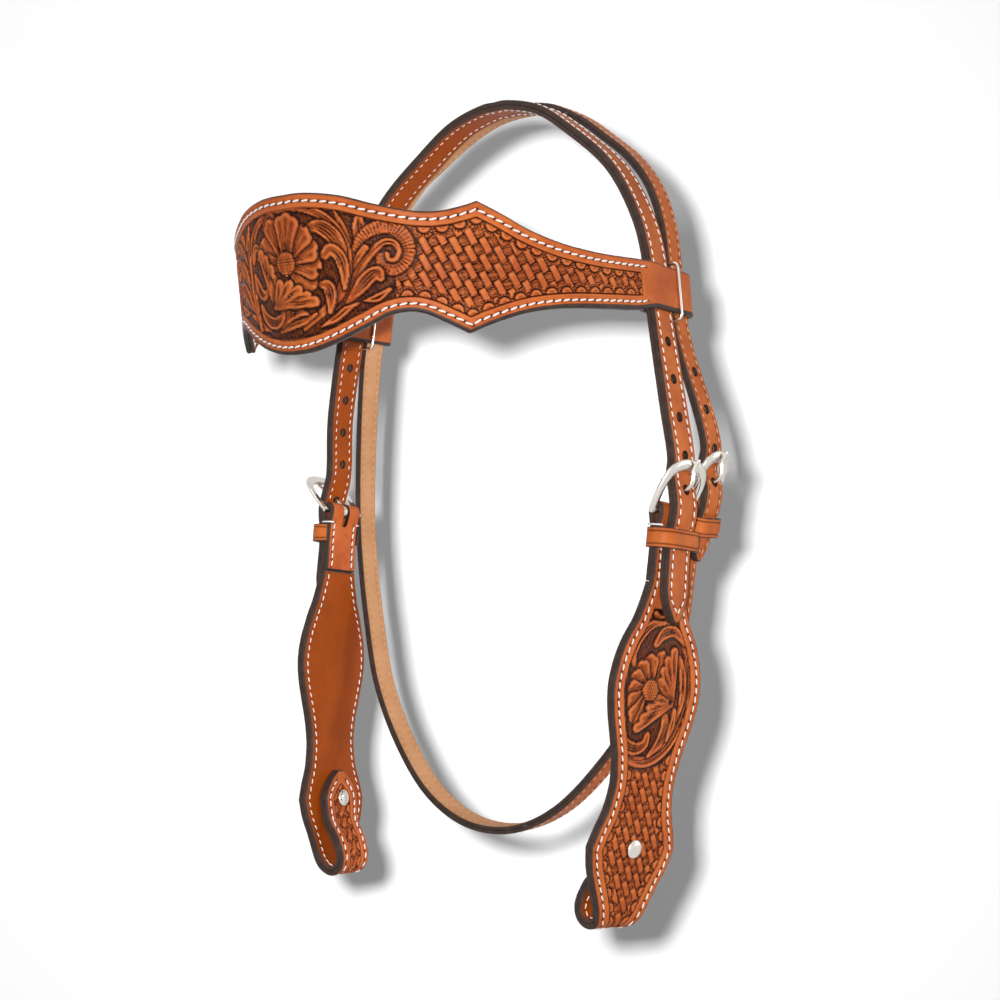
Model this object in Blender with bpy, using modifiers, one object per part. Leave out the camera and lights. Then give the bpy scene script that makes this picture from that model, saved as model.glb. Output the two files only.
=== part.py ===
# Western headstall: crown strap, throatlatch, shaped browband and two shaped cheekpieces.
# Metres, +Z up, -Y forward, +X the horse's near side, where the throatlatch buckles.
# The origin is on the underside of the crown strap, at the middle of the poll.

import math

import bmesh
import bpy
import numpy as np
from mathutils import Matrix

# Gaps between pieces
ply_gap = 0.0003
seat_gap = 0.0003
lay_gap = 0.0007
strap_play = 0.0010

# Crown strap
crown_width = 0.0159
crown_face_ply = 0.0024
crown_lining_ply = 0.0020
crown_tail = 0.0500
crown_point = 0.0150
crown_hole_pitch = 0.0175
crown_hole_count = 4
hole_diameter = 0.0048

# Throatlatch
throat_width = 0.0127
throat_face_ply = 0.0019
throat_lining_ply = 0.0016
throat_tail = 0.0275
throat_point = 0.0120
throat_hole_pitch = 0.0182
throat_hole_count = 3
throat_turn_back = 0.0255
throat_sweep = 0.0016
throat_lift_near = 0.0042
throat_lift_poll = 0.0030
throat_lift_off = 0.0100
lift_reach = 0.0300
strap_spacing = 0.0027
loop_depth = 0.1620
loop_half_width = 0.1030
loop_setback = 0.0089
loop_forward = 0.0164

# Where the leather lies, from the poll down to the buckle bars
side_spread = 0.0970
arch_drop = 0.1011
arch_forward = 0.0080
arch_toe = -0.06
bar_toe = 0.06
bar_spread = 0.1048
bar_drop = 0.2015
bar_forward = 0.0090
half_way_share = 0.504
side_splay = 0.026
side_lean = 0.117
throat_bar_spread = 0.1042
throat_bar_drop = 0.1965
throat_bar_setback = 0.0170
throat_splay = 0.200
throat_lean = 0.030

# Buckles
bar_radius = 0.0015
plate_thickness = 0.0021
frame_height = 0.0262
frame_swell = 0.0010
shoulder_share = 0.36
arch_power = 2.6
top_band = 0.0050
leg_band = 0.0036
neck_side_gap = 0.0005
frame_tilt = math.radians(25.0)
off_frame_tilt = math.radians(44.0)
throat_frame_tilt = math.radians(17.0)
tongue_width = 0.0030
tongue_thickness = 0.0017
slot_width = 0.0044
slot_reach = 0.0085

# Cheekpieces
neck_width = 0.0218
cheek_face_ply = 0.0025
cheek_lining_ply = 0.0019
turn_back = 0.0320
cheek_drop = 0.1520
cheek_half_width = 0.0281
cheek_twist = 0.12
cheek_bow = 0.0063
bow_start = 0.0600
bit_loop_length = 0.0390
bit_loop_gap = 0.0084
bit_tab_flare = 0.0285
bit_tab_rise = 0.0145

# Keepers
keeper_height = 0.0092
keeper_drop = 0.0125
keeper_ply = 0.0017
keeper_bulge = 0.0014
throat_keeper_drop = 0.0108
throat_keeper_bulge = 0.0003

# Screws of the bit loops
head_diameter = 0.0086
head_height = 0.0016
barrel_diameter = 0.0044
barrel_bore = 0.0034
shank_diameter = 0.0030
driver_slot = 0.0009

# Browband
browband_face_ply = 0.0023
browband_lining_ply = 0.0016
browband_depth = 0.1260
browband_dip = 0.0022
browband_rake = 0.14
crest_height = 0.0352
belly_height = 0.0328
tab_height = 0.0206
tab_lap = 0.0130
tab_rise = 0.0015
bend_power = 1.05
divider_wire = 0.0018
divider_height = 0.0283
divider_corner = 0.0026

# How finely the leather is divided along its length, and how far a cut runs past
row_step = 0.0095
fine_step = 0.0040
fold_step = 0.0020
cut_overrun = 0.0060
merge_distance = 0.000001

# Distances from a strap's line, which is the inner side of its face ply, to its two outer sides
crown_inner = ply_gap + crown_lining_ply
crown_outer = crown_face_ply
throat_inner = ply_gap + throat_lining_ply
throat_outer = throat_face_ply
cheek_inner = ply_gap + cheek_lining_ply
fold_radius = bar_radius + seat_gap
throat_offset = crown_width / 2 + strap_spacing + throat_width / 2

for leftover in list(bpy.data.objects):
    bpy.data.objects.remove(leftover)
parts = bpy.data.collections.new("western_headstall")
cutters = bpy.data.collections.new("cutters")
for collection in (parts, cutters):
    bpy.context.scene.collection.children.link(collection)


def new_material(name, colour, roughness, metallic=0.0):
    material = bpy.data.materials.new(name)
    material.use_nodes = True
    shader = material.node_tree.nodes["Principled BSDF"]
    shader.inputs["Base Color"].default_value = (*colour, 1.0)
    shader.inputs["Roughness"].default_value = roughness
    shader.inputs["Metallic"].default_value = metallic
    material.diffuse_color = (*colour, 1.0)
    return material


face_leather = new_material("face_leather", (0.48, 0.13, 0.03), 0.45)
lining_leather = new_material("lining_leather", (0.37, 0.09, 0.016), 0.5)
flesh_leather = new_material("flesh_leather", (0.77, 0.38, 0.18), 0.7)
satin_nickel = new_material("satin_nickel", (0.62, 0.57, 0.50), 0.3, 1.0)


# Lines that the leather follows

def unit(vector):
    return vector / np.linalg.norm(vector)


class Line:
    # A centripetal Catmull-Rom curve through control points, measured by its length.
    def __init__(self, points, samples=24):
        points = np.array(points, dtype=float)
        padded = [2 * points[0] - points[1], *points, 2 * points[-1] - points[-2]]
        traced = []
        for corners in zip(padded, padded[1:], padded[2:], padded[3:]):
            knots = [0.0]
            for a, b in zip(corners, corners[1:]):
                knots.append(knots[-1] + math.sqrt(np.linalg.norm(b - a)))
            for share in np.arange(samples) / samples:
                traced.append(self.between(corners, knots, knots[1] + share * (knots[2] - knots[1])))
        self.points = np.array(traced + [points[-1]])
        steps = np.linalg.norm(np.diff(self.points, axis=0), axis=1)
        self.distances = np.concatenate([[0.0], np.cumsum(steps)])
        self.length = self.distances[-1]
        self.marks = [float(mark) for mark in self.distances[::samples]]

    @staticmethod
    def between(corners, knots, place):
        level = corners
        for reach in (1, 2):
            level = [
                ((knots[i + reach] - place) * level[i] + (place - knots[i]) * level[i + 1])
                / (knots[i + reach] - knots[i])
                for i in range(len(level) - 1)
            ]
        return ((knots[2] - place) * level[0] + (place - knots[1]) * level[1]) / (knots[2] - knots[1])

    def at(self, distance):
        return np.array([np.interp(distance, self.distances, axis) for axis in self.points.T])

    def direction(self, distance):
        reach = self.length / 2000
        return unit(self.at(min(distance + reach, self.length)) - self.at(max(distance - reach, 0.0)))


def spaced(start, finish, step):
    return [float(place) for place in np.linspace(start, finish, max(1, round(abs(finish - start) / step)) + 1)]


def smooth_widths(*runs):
    # Half widths along a piece: smooth through (distance, half width) rows, cornered between runs.
    places, widths = [], []
    for rows in runs:
        line = Line(rows, 12)
        places += list(line.points[:, 0])
        widths += list(line.points[:, 1])
    return lambda distance: float(np.interp(distance, places, widths))


def side_width(point):
    # The leather's front edge lies nearer the middle at the buckles, and farther out in the arch.
    share = min(max((-point[2] - arch_drop) / (bar_drop - arch_drop), 0.0), 1.0)
    toe = arch_toe + (bar_toe - arch_toe) * share
    return np.array([toe * point[0] / side_spread, 1.0, 0.0])


def width_near(bar, reach):
    # A strap's width lies along its bar as far as it lies over the folded leather there.
    centre = in_world(bar, 0.0, 0.0)
    bar_axis = np.array(bar.to_3x3().col[1])

    def width(point):
        share = min(max(np.linalg.norm(point - centre) / reach - 1, 0.0), 1.0)
        return side_width(point) * share + bar_axis * (1 - share)
    return width


def cheek_width(point):
    # Below its turned-back leather a cheekpiece is twisted, its rear edge outward.
    share = min(max((-point[2] - turn_back) / (bow_start - turn_back), 0.0), 1.0)
    return np.array([cheek_twist * share, 1.0, 0.0])


def leather_frame(line, distance, width_of):
    point = line.at(distance)
    along = line.direction(distance)
    wide = width_of(point)
    wide = unit(wide - wide.dot(along) * along)
    return point, wide, along, np.cross(wide, along)


def matrix_of(point, x_axis, y_axis, z_axis):
    matrix = Matrix.Identity(4)
    for column, axis in enumerate((x_axis, y_axis, z_axis, point)):
        for row in range(3):
            matrix[row][column] = axis[row]
    return matrix


def place_matrix(spread, rearward, drop, splay, lean):
    # A frame on the near side: x outward, y to the rear, z up along the strap.
    place = np.array([spread, rearward, crown_inner - drop])
    upward = unit(np.array([splay, lean, 1.0]))
    wide = side_width(place)
    wide = unit(wide - wide.dot(upward) * upward)
    return matrix_of(place, np.cross(wide, upward), wide, upward)


def in_world(matrix, x, z, y=0.0):
    return np.array((matrix @ Matrix.Translation((x, y, z))).translation)


def mirrored_matrix(matrix):
    flip = Matrix.Scale(-1, 4, (1, 0, 0))
    return flip @ matrix @ flip


# Objects and meshes

def add_object(name, data, collection=parts, parent=None):
    item = bpy.data.objects.new(name, data)
    collection.objects.link(item)
    item.parent = parent
    return item


def add_empty(name, matrix, parent=None):
    empty = add_object(name, None, parts, parent)
    empty.empty_display_size = bar_drop / 20
    empty.matrix_basis = matrix
    return empty


def finished_mesh(item):
    bpy.context.view_layer.update()
    seen = item.evaluated_get(bpy.context.evaluated_depsgraph_get())
    mesh = bpy.data.meshes.new_from_object(seen)
    work = bmesh.new()
    work.from_mesh(mesh)
    bmesh.ops.remove_doubles(work, verts=work.verts, dist=merge_distance)
    bmesh.ops.recalc_face_normals(work, faces=work.faces)
    work.to_mesh(mesh)
    work.free()
    return mesh


def bake(item):
    # Puts in an object's place the mesh that its curve or its modifiers make.
    name, parent, place, collection = item.name, item.parent, item.matrix_basis.copy(), item.users_collection[0]
    mesh = finished_mesh(item)
    bpy.data.objects.remove(item)
    mesh.name = name
    baked = add_object(name, mesh, collection, parent)
    baked.matrix_basis = place
    return baked


def mirrored_copy(item, name, parent=None):
    mesh = finished_mesh(item)
    mesh.name = name
    mesh.transform(Matrix.Scale(-1, 4, (1, 0, 0)))
    mesh.flip_normals()
    copy = add_object(name, mesh, parts, parent)
    copy.matrix_basis = mirrored_matrix(item.matrix_basis)
    return copy


def dress(item, material):
    item.data.materials.clear()
    item.data.materials.append(material)
    item.data.shade_smooth()
    item.data.set_sharp_from_angle(angle=math.radians(40))


def sheet(name, line, stations, half_width, depth, ply, width_of, across=1, mirrored=False):
    # A ply of leather: a grid bent along a line, then given its thickness away from the line.
    rows = len(stations) - 1
    grid = bmesh.new()
    bmesh.ops.create_grid(grid, x_segments=rows, y_segments=across, size=1)
    for vertex in grid.verts:
        distance = stations[round((vertex.co.x + 1) / 2 * rows)]
        point, wide, along, outward = leather_frame(line, distance, width_of)
        vertex.co = point + wide * half_width(distance, vertex.co.y) + outward * depth
    grid.normal_update()
    grid.faces.ensure_lookup_table()
    first = leather_frame(line, (stations[0] + stations[1]) / 2, width_of)
    start_face = min(grid.faces, key=lambda face: np.linalg.norm(np.array(face.calc_center_median()) - first[0]))
    if start_face.normal.dot(first[3]) < 0:
        bmesh.ops.reverse_faces(grid, faces=grid.faces)
    mesh = bpy.data.meshes.new(name)
    grid.to_mesh(mesh)
    grid.free()
    item = add_object(name, mesh)
    if mirrored:
        mirror = item.modifiers.new("other_side", "MIRROR")
        mirror.use_axis = (True, False, False)
        mirror.merge_threshold = merge_distance * 10
    thicken = item.modifiers.new("thickness", "SOLIDIFY")
    thicken.thickness = abs(ply)
    thicken.offset = math.copysign(1, ply)
    thicken.use_even_offset = True
    return item


def flat_piece(name, outlines, thickness, rounding, turn):
    # A flat outline with eased edges; turn sends the outline's plane to where the piece lies.
    curve = bpy.data.curves.new(name, "CURVE")
    curve.dimensions = "2D"
    curve.fill_mode = "BOTH"
    curve.extrude = thickness / 2 - rounding
    curve.bevel_depth = rounding
    curve.bevel_resolution = 0
    curve.offset = -rounding
    for outline in outlines:
        spline = curve.splines.new("POLY")
        spline.points.add(len(outline) - 1)
        for corner, (x, y) in zip(spline.points, outline):
            corner.co = (x, y, 0, 1)
        spline.use_cyclic_u = True
    item = bake(add_object(name, curve))
    item.data.transform(turn)
    return item


def drum(work, matrix, radius, length, sides=16):
    bmesh.ops.create_cone(
        work, cap_ends=True, segments=sides, radius1=radius, radius2=radius, depth=length, matrix=matrix)


def cutter_from(name, work):
    mesh = bpy.data.meshes.new(name)
    work.to_mesh(mesh)
    work.free()
    item = add_object(name, mesh, cutters)
    item.hide_render = True
    item.display_type = "WIRE"
    return item


def combine(item, other, operation):
    modifier = item.modifiers.new(other.name, "BOOLEAN")
    modifier.operation = operation
    modifier.solver = "EXACT"
    modifier.object = other


def holes(name, matrices, radius, depth):
    work = bmesh.new()
    for matrix in matrices:
        drum(work, matrix, radius, depth, 14)
    return cutter_from(name, work)


# What all three buckles share

outline_to_side = Matrix(((0, 0, 1, 0), (1, 0, 0, 0), (0, 1, 0, 0), (0, 0, 0, 1)))
outline_to_edge = outline_to_side @ outline_to_side
along_y = Matrix.Rotation(math.pi / 2, 4, "X")
along_x = Matrix.Rotation(math.pi / 2, 4, "Y")


def plate_back(height, tilt):
    # How far out the back of a tilted plate lies, at a height above its bar.
    return height * math.tan(tilt) - plate_thickness / 2 / math.cos(tilt)


def plate_heights(tilt):
    return (frame_height - top_band) * math.cos(tilt), frame_height * math.cos(tilt)


def opening_height(inner_width, half_width):
    # How high a plate's opening is over a strap's edge, along the plate.
    shoulder = shoulder_share * frame_height
    across = half_width / (inner_width / 2 + frame_swell)
    return shoulder + (frame_height - top_band - shoulder) * (1 - across ** arch_power) ** (1 / arch_power)


def billet_points(matrix, tail, keeper_level, seat, bar_seat, half_width, inner_width, outer, inward, tilt):
    # A billet from its point up: over the folded leather, round the bar, in behind the plate.
    low = opening_height(inner_width, half_width + 3 * seat_gap) * math.cos(tilt)
    high = 1.04 * frame_height * math.cos(tilt)
    under = plate_back(low, tilt) - lay_gap - outer
    keeper_edges = (keeper_level + keeper_height / 2, keeper_level - keeper_height / 2)
    lifts = (2 * lay_gap, lay_gap / 2, 0.0, lay_gap)
    rows = []
    for lift, drop in zip(lifts, (tail, 0.62 * tail, *keeper_edges)):
        rows.append((seat + lift - inward(drop), -drop))
    rows += [(0.93 * bar_seat, -0.16 * frame_height), (bar_seat, 0.06 * frame_height)]
    rows += [(0.81 * bar_seat, 0.33 * frame_height), (under, low), (0.94 * under, high)]
    return [in_world(matrix, x, z) for x, z in rows]


def fold_rows(drops_before, drops_after, inward):
    # The inner side of leather that comes up outside a bar, goes over it and down again.
    rows = [(ply_gap / 2 - inward(drop), -drop) for drop in drops_before]
    rows.append((0.62 * fold_radius, -2.3 * fold_radius))
    for degrees in (-10, 40, 90, 140, 190):
        angle = math.radians(degrees)
        rows.append((fold_radius * math.cos(angle), fold_radius * math.sin(angle)))
    rows.append((-0.62 * fold_radius, -2.3 * fold_radius))
    return rows + [(-ply_gap / 2 - inward(drop), -drop) for drop in drops_after]


def blade_points(bar_seat, inner, outer, tilt):
    # A tongue's blade goes up behind the billet, out through its hole and over the plate's top.
    rest = tongue_thickness / 2 + seat_gap
    low, high = plate_heights(tilt)
    over = (plate_thickness + 1.1 * rest) / math.cos(tilt)
    eye_middle = fold_radius + tongue_thickness / 2
    return [
        (0.30 * eye_middle, 0.95 * eye_middle),
        (bar_seat - 1.25 * inner - 1.9 * rest, 0.35 * low),
        (bar_seat - 0.25 * inner, 0.50 * low),
        (bar_seat + outer + 0.75 * rest, 0.675 * low + 0.35 * (tilt - frame_tilt) * rest),
        (plate_back(low, tilt) + over, low),
        (plate_back(high, tilt) + over, high),
    ]


def tongue_hole(matrix, blade):
    # The hole that a tongue is in leans along the blade.
    x, z = blade.at((blade.marks[1] + blade.marks[3]) / 2)
    dx, dz = blade.direction((blade.marks[1] + blade.marks[3]) / 2)
    return matrix @ Matrix.Translation((x, 0, z)) @ Matrix.Rotation(math.atan2(dx, dz), 4, "Y")


def tongue_outlines(blade, side):
    # The side view of a tongue: an eye round the bar, drawn out into a blade.
    half = tongue_thickness / 2
    eye_outer = fold_radius + tongue_thickness
    left, right = [], []
    for distance in spaced(0.0, blade.length, blade.length / 9):
        x, z = blade.at(distance)
        dx, dz = blade.direction(distance)
        reach = half * (1 - 0.25 * distance / blade.length)
        left.append((z + reach * dx, x - reach * dz))
        right.append((z - reach * dx, x + reach * dz))
    tip = blade.at(blade.length) + blade.direction(blade.length) * 0.7 * half
    first, last = (math.atan2(side[0][1], side[0][0]) for side in (right, left))
    sweep = 2 * math.pi + last - first
    angles = [first + sweep * turn / 12 for turn in range(1, 12)]
    eye = [(eye_outer * math.cos(angle), eye_outer * math.sin(angle)) for angle in angles]
    rim = [2 * math.pi * turn / 14 for turn in range(14)]
    bore = [(fold_radius * math.cos(angle), fold_radius * math.sin(angle)) for angle in rim]
    around = left + [(tip[1], tip[0])] + right[::-1] + eye
    return [[(height, side * out) for height, out in outline] for outline in (around, bore)]


def plate_outline(inner_width):
    # A horseshoe, open at its foot where the bar closes it.
    shoulder = shoulder_share * frame_height
    outer, inner = [], []
    for side, band, top in ((outer, leg_band, frame_height), (inner, 0.0, frame_height - top_band)):
        half = inner_width / 2 + band
        swollen = half + frame_swell
        legs = [(half, -bar_radius), (half + 0.7 * frame_swell, 0.45 * shoulder)]
        side += legs
        for turn in range(15):
            angle = math.pi * turn / 14
            across = math.copysign(abs(math.cos(angle)) ** (2 / arch_power), math.cos(angle))
            side.append((swollen * across, shoulder + (top - shoulder) * math.sin(angle) ** (2 / arch_power)))
        side += [(-y, z) for y, z in reversed(legs)]
    return outer + inner[::-1]


def make_buckle(prefix, inner_width, blade, bar_empty, tilt, side=1):
    # The plate hangs from an empty that is tilted on the bar's axis, the tongue from the bar.
    rounding = plate_thickness / 5
    plate = flat_piece(prefix + "_frame", [plate_outline(inner_width)], plate_thickness, rounding, outline_to_side)
    rod = bmesh.new()
    drum(rod, along_y, bar_radius, inner_width + leg_band, 12)
    combine(plate, cutter_from(prefix + "_bar", rod), "UNION")
    plate = bake(plate)
    plate.parent = add_empty(prefix + "_tilt", Matrix.Rotation(side * tilt, 4, "Y"), bar_empty)
    tongue = flat_piece(
        prefix + "_tongue", tongue_outlines(blade, side), tongue_width, tongue_width / 8, outline_to_edge)
    tongue.parent = bar_empty
    for item in (plate, tongue):
        dress(item, satin_nickel)


def slot_cutter(name, reach, depth):
    # The oblong slot through folded leather, from which the tongue's eye stands out.
    ends = bmesh.new()
    half = slot_width / 2
    for height in (half - reach, reach):
        drum(ends, Matrix.Translation((0, 0, height)) @ along_x, half, depth, 12)
    block = bmesh.new()
    bmesh.ops.create_cube(block, size=1)
    bmesh.ops.scale(block, vec=(depth, slot_width, 2 * reach - half), verts=block.verts)
    bmesh.ops.translate(block, vec=(0, 0, half / 2), verts=block.verts)
    body = cutter_from(name, block)
    combine(body, cutter_from(name + "_ends", ends), "UNION")
    return body


def keeper_outline(neck_half, inside, billet_top, bulge):
    # A keeper seen along the strap: its ends are sewn to the edges of the leather under it.
    half = keeper_ply / 2
    edge = neck_half + seat_gap + half
    top = billet_top + lay_gap + half
    right = [(-inside, edge), (0.28 * top, edge + bulge), (0.60 * top, edge + 0.6 * bulge)]
    right += [(0.88 * top, 0.88 * edge), (top, 0.66 * edge)]
    line = Line(right + [(top, 0.0)] + [(x, -y) for x, y in reversed(right)])
    left_side, right_side = [], []
    for distance in spaced(0.0, line.length, line.length / 18):
        x, y = line.at(distance)
        dx, dy = line.direction(distance)
        left_side.append((x - half * dy, y + half * dx))
        right_side.append((x + half * dy, y - half * dx))
    return left_side + right_side[::-1]


def pointed(half, tip_length):
    # Half width of a strap whose end, at distance zero, is cut to a blunt point.
    blunt_share = 0.16

    def width(distance, across):
        rise = 1 - (1 - min(distance / tip_length, 1.0)) ** 1.8
        return across * half * (blunt_share + (1 - blunt_share) * rise)
    return width


def billet_stations(tip_length, finish):
    return spaced(0.0, tip_length, tip_length / 5)[:-1] + spaced(tip_length, finish, row_step)


# The crown strap, with a billet at each end

def no_sweep(drop):
    return 0.0


def build_crown(bar):
    seat = ply_gap / 2 + cheek_face_ply + seat_gap + crown_inner
    bar_seat = fold_radius + cheek_face_ply + lay_gap + crown_inner
    points = billet_points(
        bar, crown_tail, keeper_drop, seat, bar_seat, crown_width / 2, neck_width + 2 * neck_side_gap,
        crown_outer, no_sweep, frame_tilt)
    hole_mark, tab_mark = len(points) - 3, len(points) + 1
    below_arch = arch_drop + half_way_share * (bar_drop - arch_drop)
    points.append((1.092 * side_spread, -1.06 * arch_forward, crown_inner - below_arch))
    arch_shares = [(1.0, 1.0, 1.0), (0.985, 0.92, 0.87), (0.915, 0.70, 0.66)]
    arch_shares += [(0.742, 0.42, 0.393), (0.483, 0.18, 0.182), (0.279, 0.05, 0.054), (0.07, 0.0, 0.0)]
    for across, forward, down in arch_shares:
        points.append((across * side_spread, -forward * arch_forward, crown_inner - down * arch_drop))
    points.append((0.0, 0.0, crown_inner))
    points.append((-arch_shares[-1][0] * side_spread, 0.0, crown_inner))
    line = Line(points)
    stations = billet_stations(crown_point, line.marks[-3]) + [line.marks[-2]]
    width = pointed(crown_width / 2, crown_point)
    wide_of = width_near(bar, crown_tail)
    face = sheet("crown_face", line, stations, width, 0.0, crown_face_ply, wide_of, 1, True)
    lining = sheet("crown_lining", line, stations, width, -ply_gap, -crown_lining_ply, wide_of, 1, True)
    blades = [Line(blade_points(bar_seat, crown_inner, crown_outer, tilt)) for tilt in (frame_tilt, off_frame_tilt)]
    places = [tongue_hole(bar, blades[0]), mirrored_matrix(tongue_hole(bar, blades[1]))]
    for turn in range(crown_hole_count):
        point, wide, along, outward = leather_frame(
            line, line.marks[hole_mark] + crown_hole_pitch * (turn + 1), wide_of)
        place = matrix_of(point, wide, along, outward)
        places += [place, mirrored_matrix(place)]
    depth = crown_face_ply + crown_lining_ply + cut_overrun
    punched = holes("crown_holes", places, hole_diameter / 2, depth)
    for item, material in ((face, face_leather), (lining, lining_leather)):
        combine(item, punched, "DIFFERENCE")
        dress(item, material)
    return line, line.marks[tab_mark] + tab_rise, blades


# The throatlatch, one strap from its billet over the poll and under the throat to its buckle

def throat_inward(drop):
    return throat_sweep * (max(drop - 2 * fold_radius, 0.0) / throat_turn_back) ** 2


def throat_line(crown_line, tab_level, bar):
    seat = ply_gap / 2 + throat_face_ply + seat_gap + throat_inner
    bar_seat = fold_radius + throat_face_ply + lay_gap + throat_inner
    points = billet_points(
        bar, throat_tail, throat_keeper_drop, seat, bar_seat, throat_width / 2,
        throat_width + 2 * neck_side_gap, throat_outer, throat_inward, throat_frame_tilt)
    hole_mark = len(points) - 3

    def beside_crown(lift):
        # It stands out from the crown strap by one lift at the side of the arch and another at the poll.
        rows = []
        for distance in spaced(tab_level - tab_height, crown_line.marks[-2], row_step * 2):
            point, wide, along, outward = leather_frame(crown_line, distance, side_width)
            share = min(max((distance - tab_level - tab_height) / lift_reach, 0.0), 1.0)
            aside = min(1.5 * point[0] / side_spread, 1.0) ** 1.5
            raised = (lift * aside + throat_lift_poll * (1 - aside)) * share
            rows.append(point + wide * throat_offset + outward * raised)
        return rows

    points += beside_crown(throat_lift_near)
    points += [point * (-1, 1, 1) for point in reversed(beside_crown(throat_lift_off)[:-1])]
    # Each row: across, forward, down, and how far back the buckles push the off and the near side.
    loop_shares = [
        (1.07, 0.0, 0.0, 0.77, 1.0), (1.01, 0.116, 0.21, 0.49, 0.9), (0.92, 0.238, 0.395, 0.12, 0.66),
        (0.813, 0.45, 0.586, 0.0, 0.32), (0.647, 0.695, 0.753, 0.0, 0.10), (0.42, 0.90, 0.905, 0.0, 0.0),
        (0.20, 0.985, 0.980, 0.0, 0.0), (0.0, 1.0, 1.0, 0.0, 0.0)]
    top = in_world(bar, 0.0, 0.0)[2]

    def loop_point(side, across, forward, down, pushed):
        back = loop_setback + pushed * (throat_bar_setback - loop_setback)
        return side * across * loop_half_width, back - forward * loop_forward, top - down * loop_depth

    points += [loop_point(-1, *shares[:3], shares[3]) for shares in loop_shares]
    points += [loop_point(1, *shares[:3], shares[4]) for shares in reversed(loop_shares[2:-1])]
    drops = (throat_turn_back, 0.62 * throat_turn_back, 4.6 * fold_radius)
    points += [in_world(bar, x, z) for x, z in fold_rows(drops, drops[::-1], throat_inward)]
    blade = Line(blade_points(bar_seat, throat_inner, throat_outer, throat_frame_tilt))
    return Line(points), hole_mark, blade


def build_throatlatch(crown_line, tab_level, bar):
    line, hole_mark, blade = throat_line(crown_line, tab_level, bar)
    wide_of = width_near(bar, throat_turn_back)
    seam_start, fold_start, fold_end, seam = (line.marks[mark] for mark in (-13, -10, -4, -1))
    width = pointed(throat_width / 2, throat_point)
    stations = billet_stations(throat_point, seam_start)
    lined = stations[:-1] + [seam_start - lay_gap]
    stations += spaced(seam_start, fold_start, fine_step)[1:-1] + line.marks[-10:-3]
    stations += spaced(fold_end, seam, fine_step)[1:]
    face = sheet("throatlatch_face", line, stations, width, 0.0, throat_face_ply, wide_of)
    lining = sheet("throatlatch_lining", line, lined, width, -ply_gap, -throat_lining_ply, wide_of)
    places = [tongue_hole(bar, blade)]
    for turn in range(throat_hole_count):
        point, wide, along, outward = leather_frame(
            line, line.marks[hole_mark] + throat_hole_pitch * (turn + 1), wide_of)
        places.append(matrix_of(point, wide, along, outward))
    depth = throat_face_ply + throat_lining_ply + cut_overrun
    punched = holes("throat_holes", places, hole_diameter / 2, depth)
    slot = slot_cutter("throat_slot", slot_reach, 2 * (fold_radius + throat_face_ply) + lay_gap)
    slot.matrix_basis = bar
    for item, material in ((face, face_leather), (lining, flesh_leather)):
        combine(item, punched, "DIFFERENCE")
        dress(item, material)
    combine(face, slot, "DIFFERENCE")
    return blade


# The cheekpieces, folded over the buckle bar above and into the bit loop below

def cheek_sweep(drop):
    return cheek_bow * (max(drop - bow_start, 0.0) / (cheek_drop - bow_start)) ** 2


def loop_place(down, inward):
    # A place by the bit loop's screw, measured down and inward from the leather there.
    slope = math.atan(2 * cheek_bow / (cheek_drop - bow_start))
    x = ply_gap / 2 - cheek_bow - down * math.sin(slope) - inward * math.cos(slope)
    return x, -cheek_drop - down * math.cos(slope) + inward * math.sin(slope)


def cheek_rows():
    turn = bit_loop_gap / 2 + cheek_inner
    centre = bit_loop_length - cheek_face_ply - turn
    tab = 2 * cheek_inner + seat_gap
    rows = [(-bit_tab_rise, tab), (-0.4 * bit_tab_rise, tab), (0.12 * centre, 1.03 * tab)]
    rows += [(0.40 * centre, 0.45 * tab + 0.55 * turn), (0.70 * centre, 1.62 * turn), (centre, 1.98 * turn)]
    rows += [(centre + 0.7 * turn, 1.7 * turn), (centre + turn, turn), (centre + 0.7 * turn, 0.3 * turn)]
    rows += [(centre, 0.0), (centre / 2, 0.0), (0.0, 0.0)]
    rows = [loop_place(down, inward) for down, inward in rows]
    rise = cheek_drop - bow_start
    rows += [(ply_gap / 2 - cheek_sweep(drop), -drop) for drop in (bow_start + 0.66 * rise, bow_start + 0.33 * rise)]
    return rows + fold_rows((bow_start, turn_back, 4.6 * fold_radius), (4.6 * fold_radius, turn_back), no_sweep)


def cheek_widths(line, screw, bar_level):
    # Shares of the widest half width, at shares of the drop from the bar to the diamond's corners.
    lower_shares = [(1.245, 0.41), (1.21, 0.49), (1.16, 0.60), (1.11, 0.73), (1.06, 0.86), (1.0, 0.945)]
    upper_shares = [(1.0, 0.945), (0.95, 0.86), (0.89, 0.735), (0.81, 0.675), (0.73, 0.735), (0.66, 0.85)]
    upper_shares += [(0.60, 0.945), (0.53, 1.0), (0.455, 0.945), (0.38, 0.79), (0.315, 0.60)]
    neck = neck_width / 2
    flare = bit_tab_flare / 2
    waist = lower_shares[0][1] * cheek_half_width

    def rows(shares):
        return [(screw + (1 - down) * cheek_drop, share * cheek_half_width) for down, share in shares]

    tip = [(0.0, 0.12 * flare), (0.32 * bit_tab_rise, 0.55 * flare), (0.66 * bit_tab_rise, 0.85 * flare)]
    tip.append((bit_tab_rise, flare))
    tab = [(bit_tab_rise, flare), (bit_tab_rise + 0.45 * bit_loop_length, 0.4 * flare + 0.6 * waist)]
    tab.append((bit_tab_rise + 0.95 * bit_loop_length, waist))
    upper = rows(upper_shares)
    upper += [(bar_level - 0.225 * cheek_drop, 1.04 * neck), (bar_level - 0.16 * cheek_drop, neck)]
    upper += [(bar_level, neck), (line.length, neck)]
    return smooth_widths(tip, tab + rows(lower_shares), upper)


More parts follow.
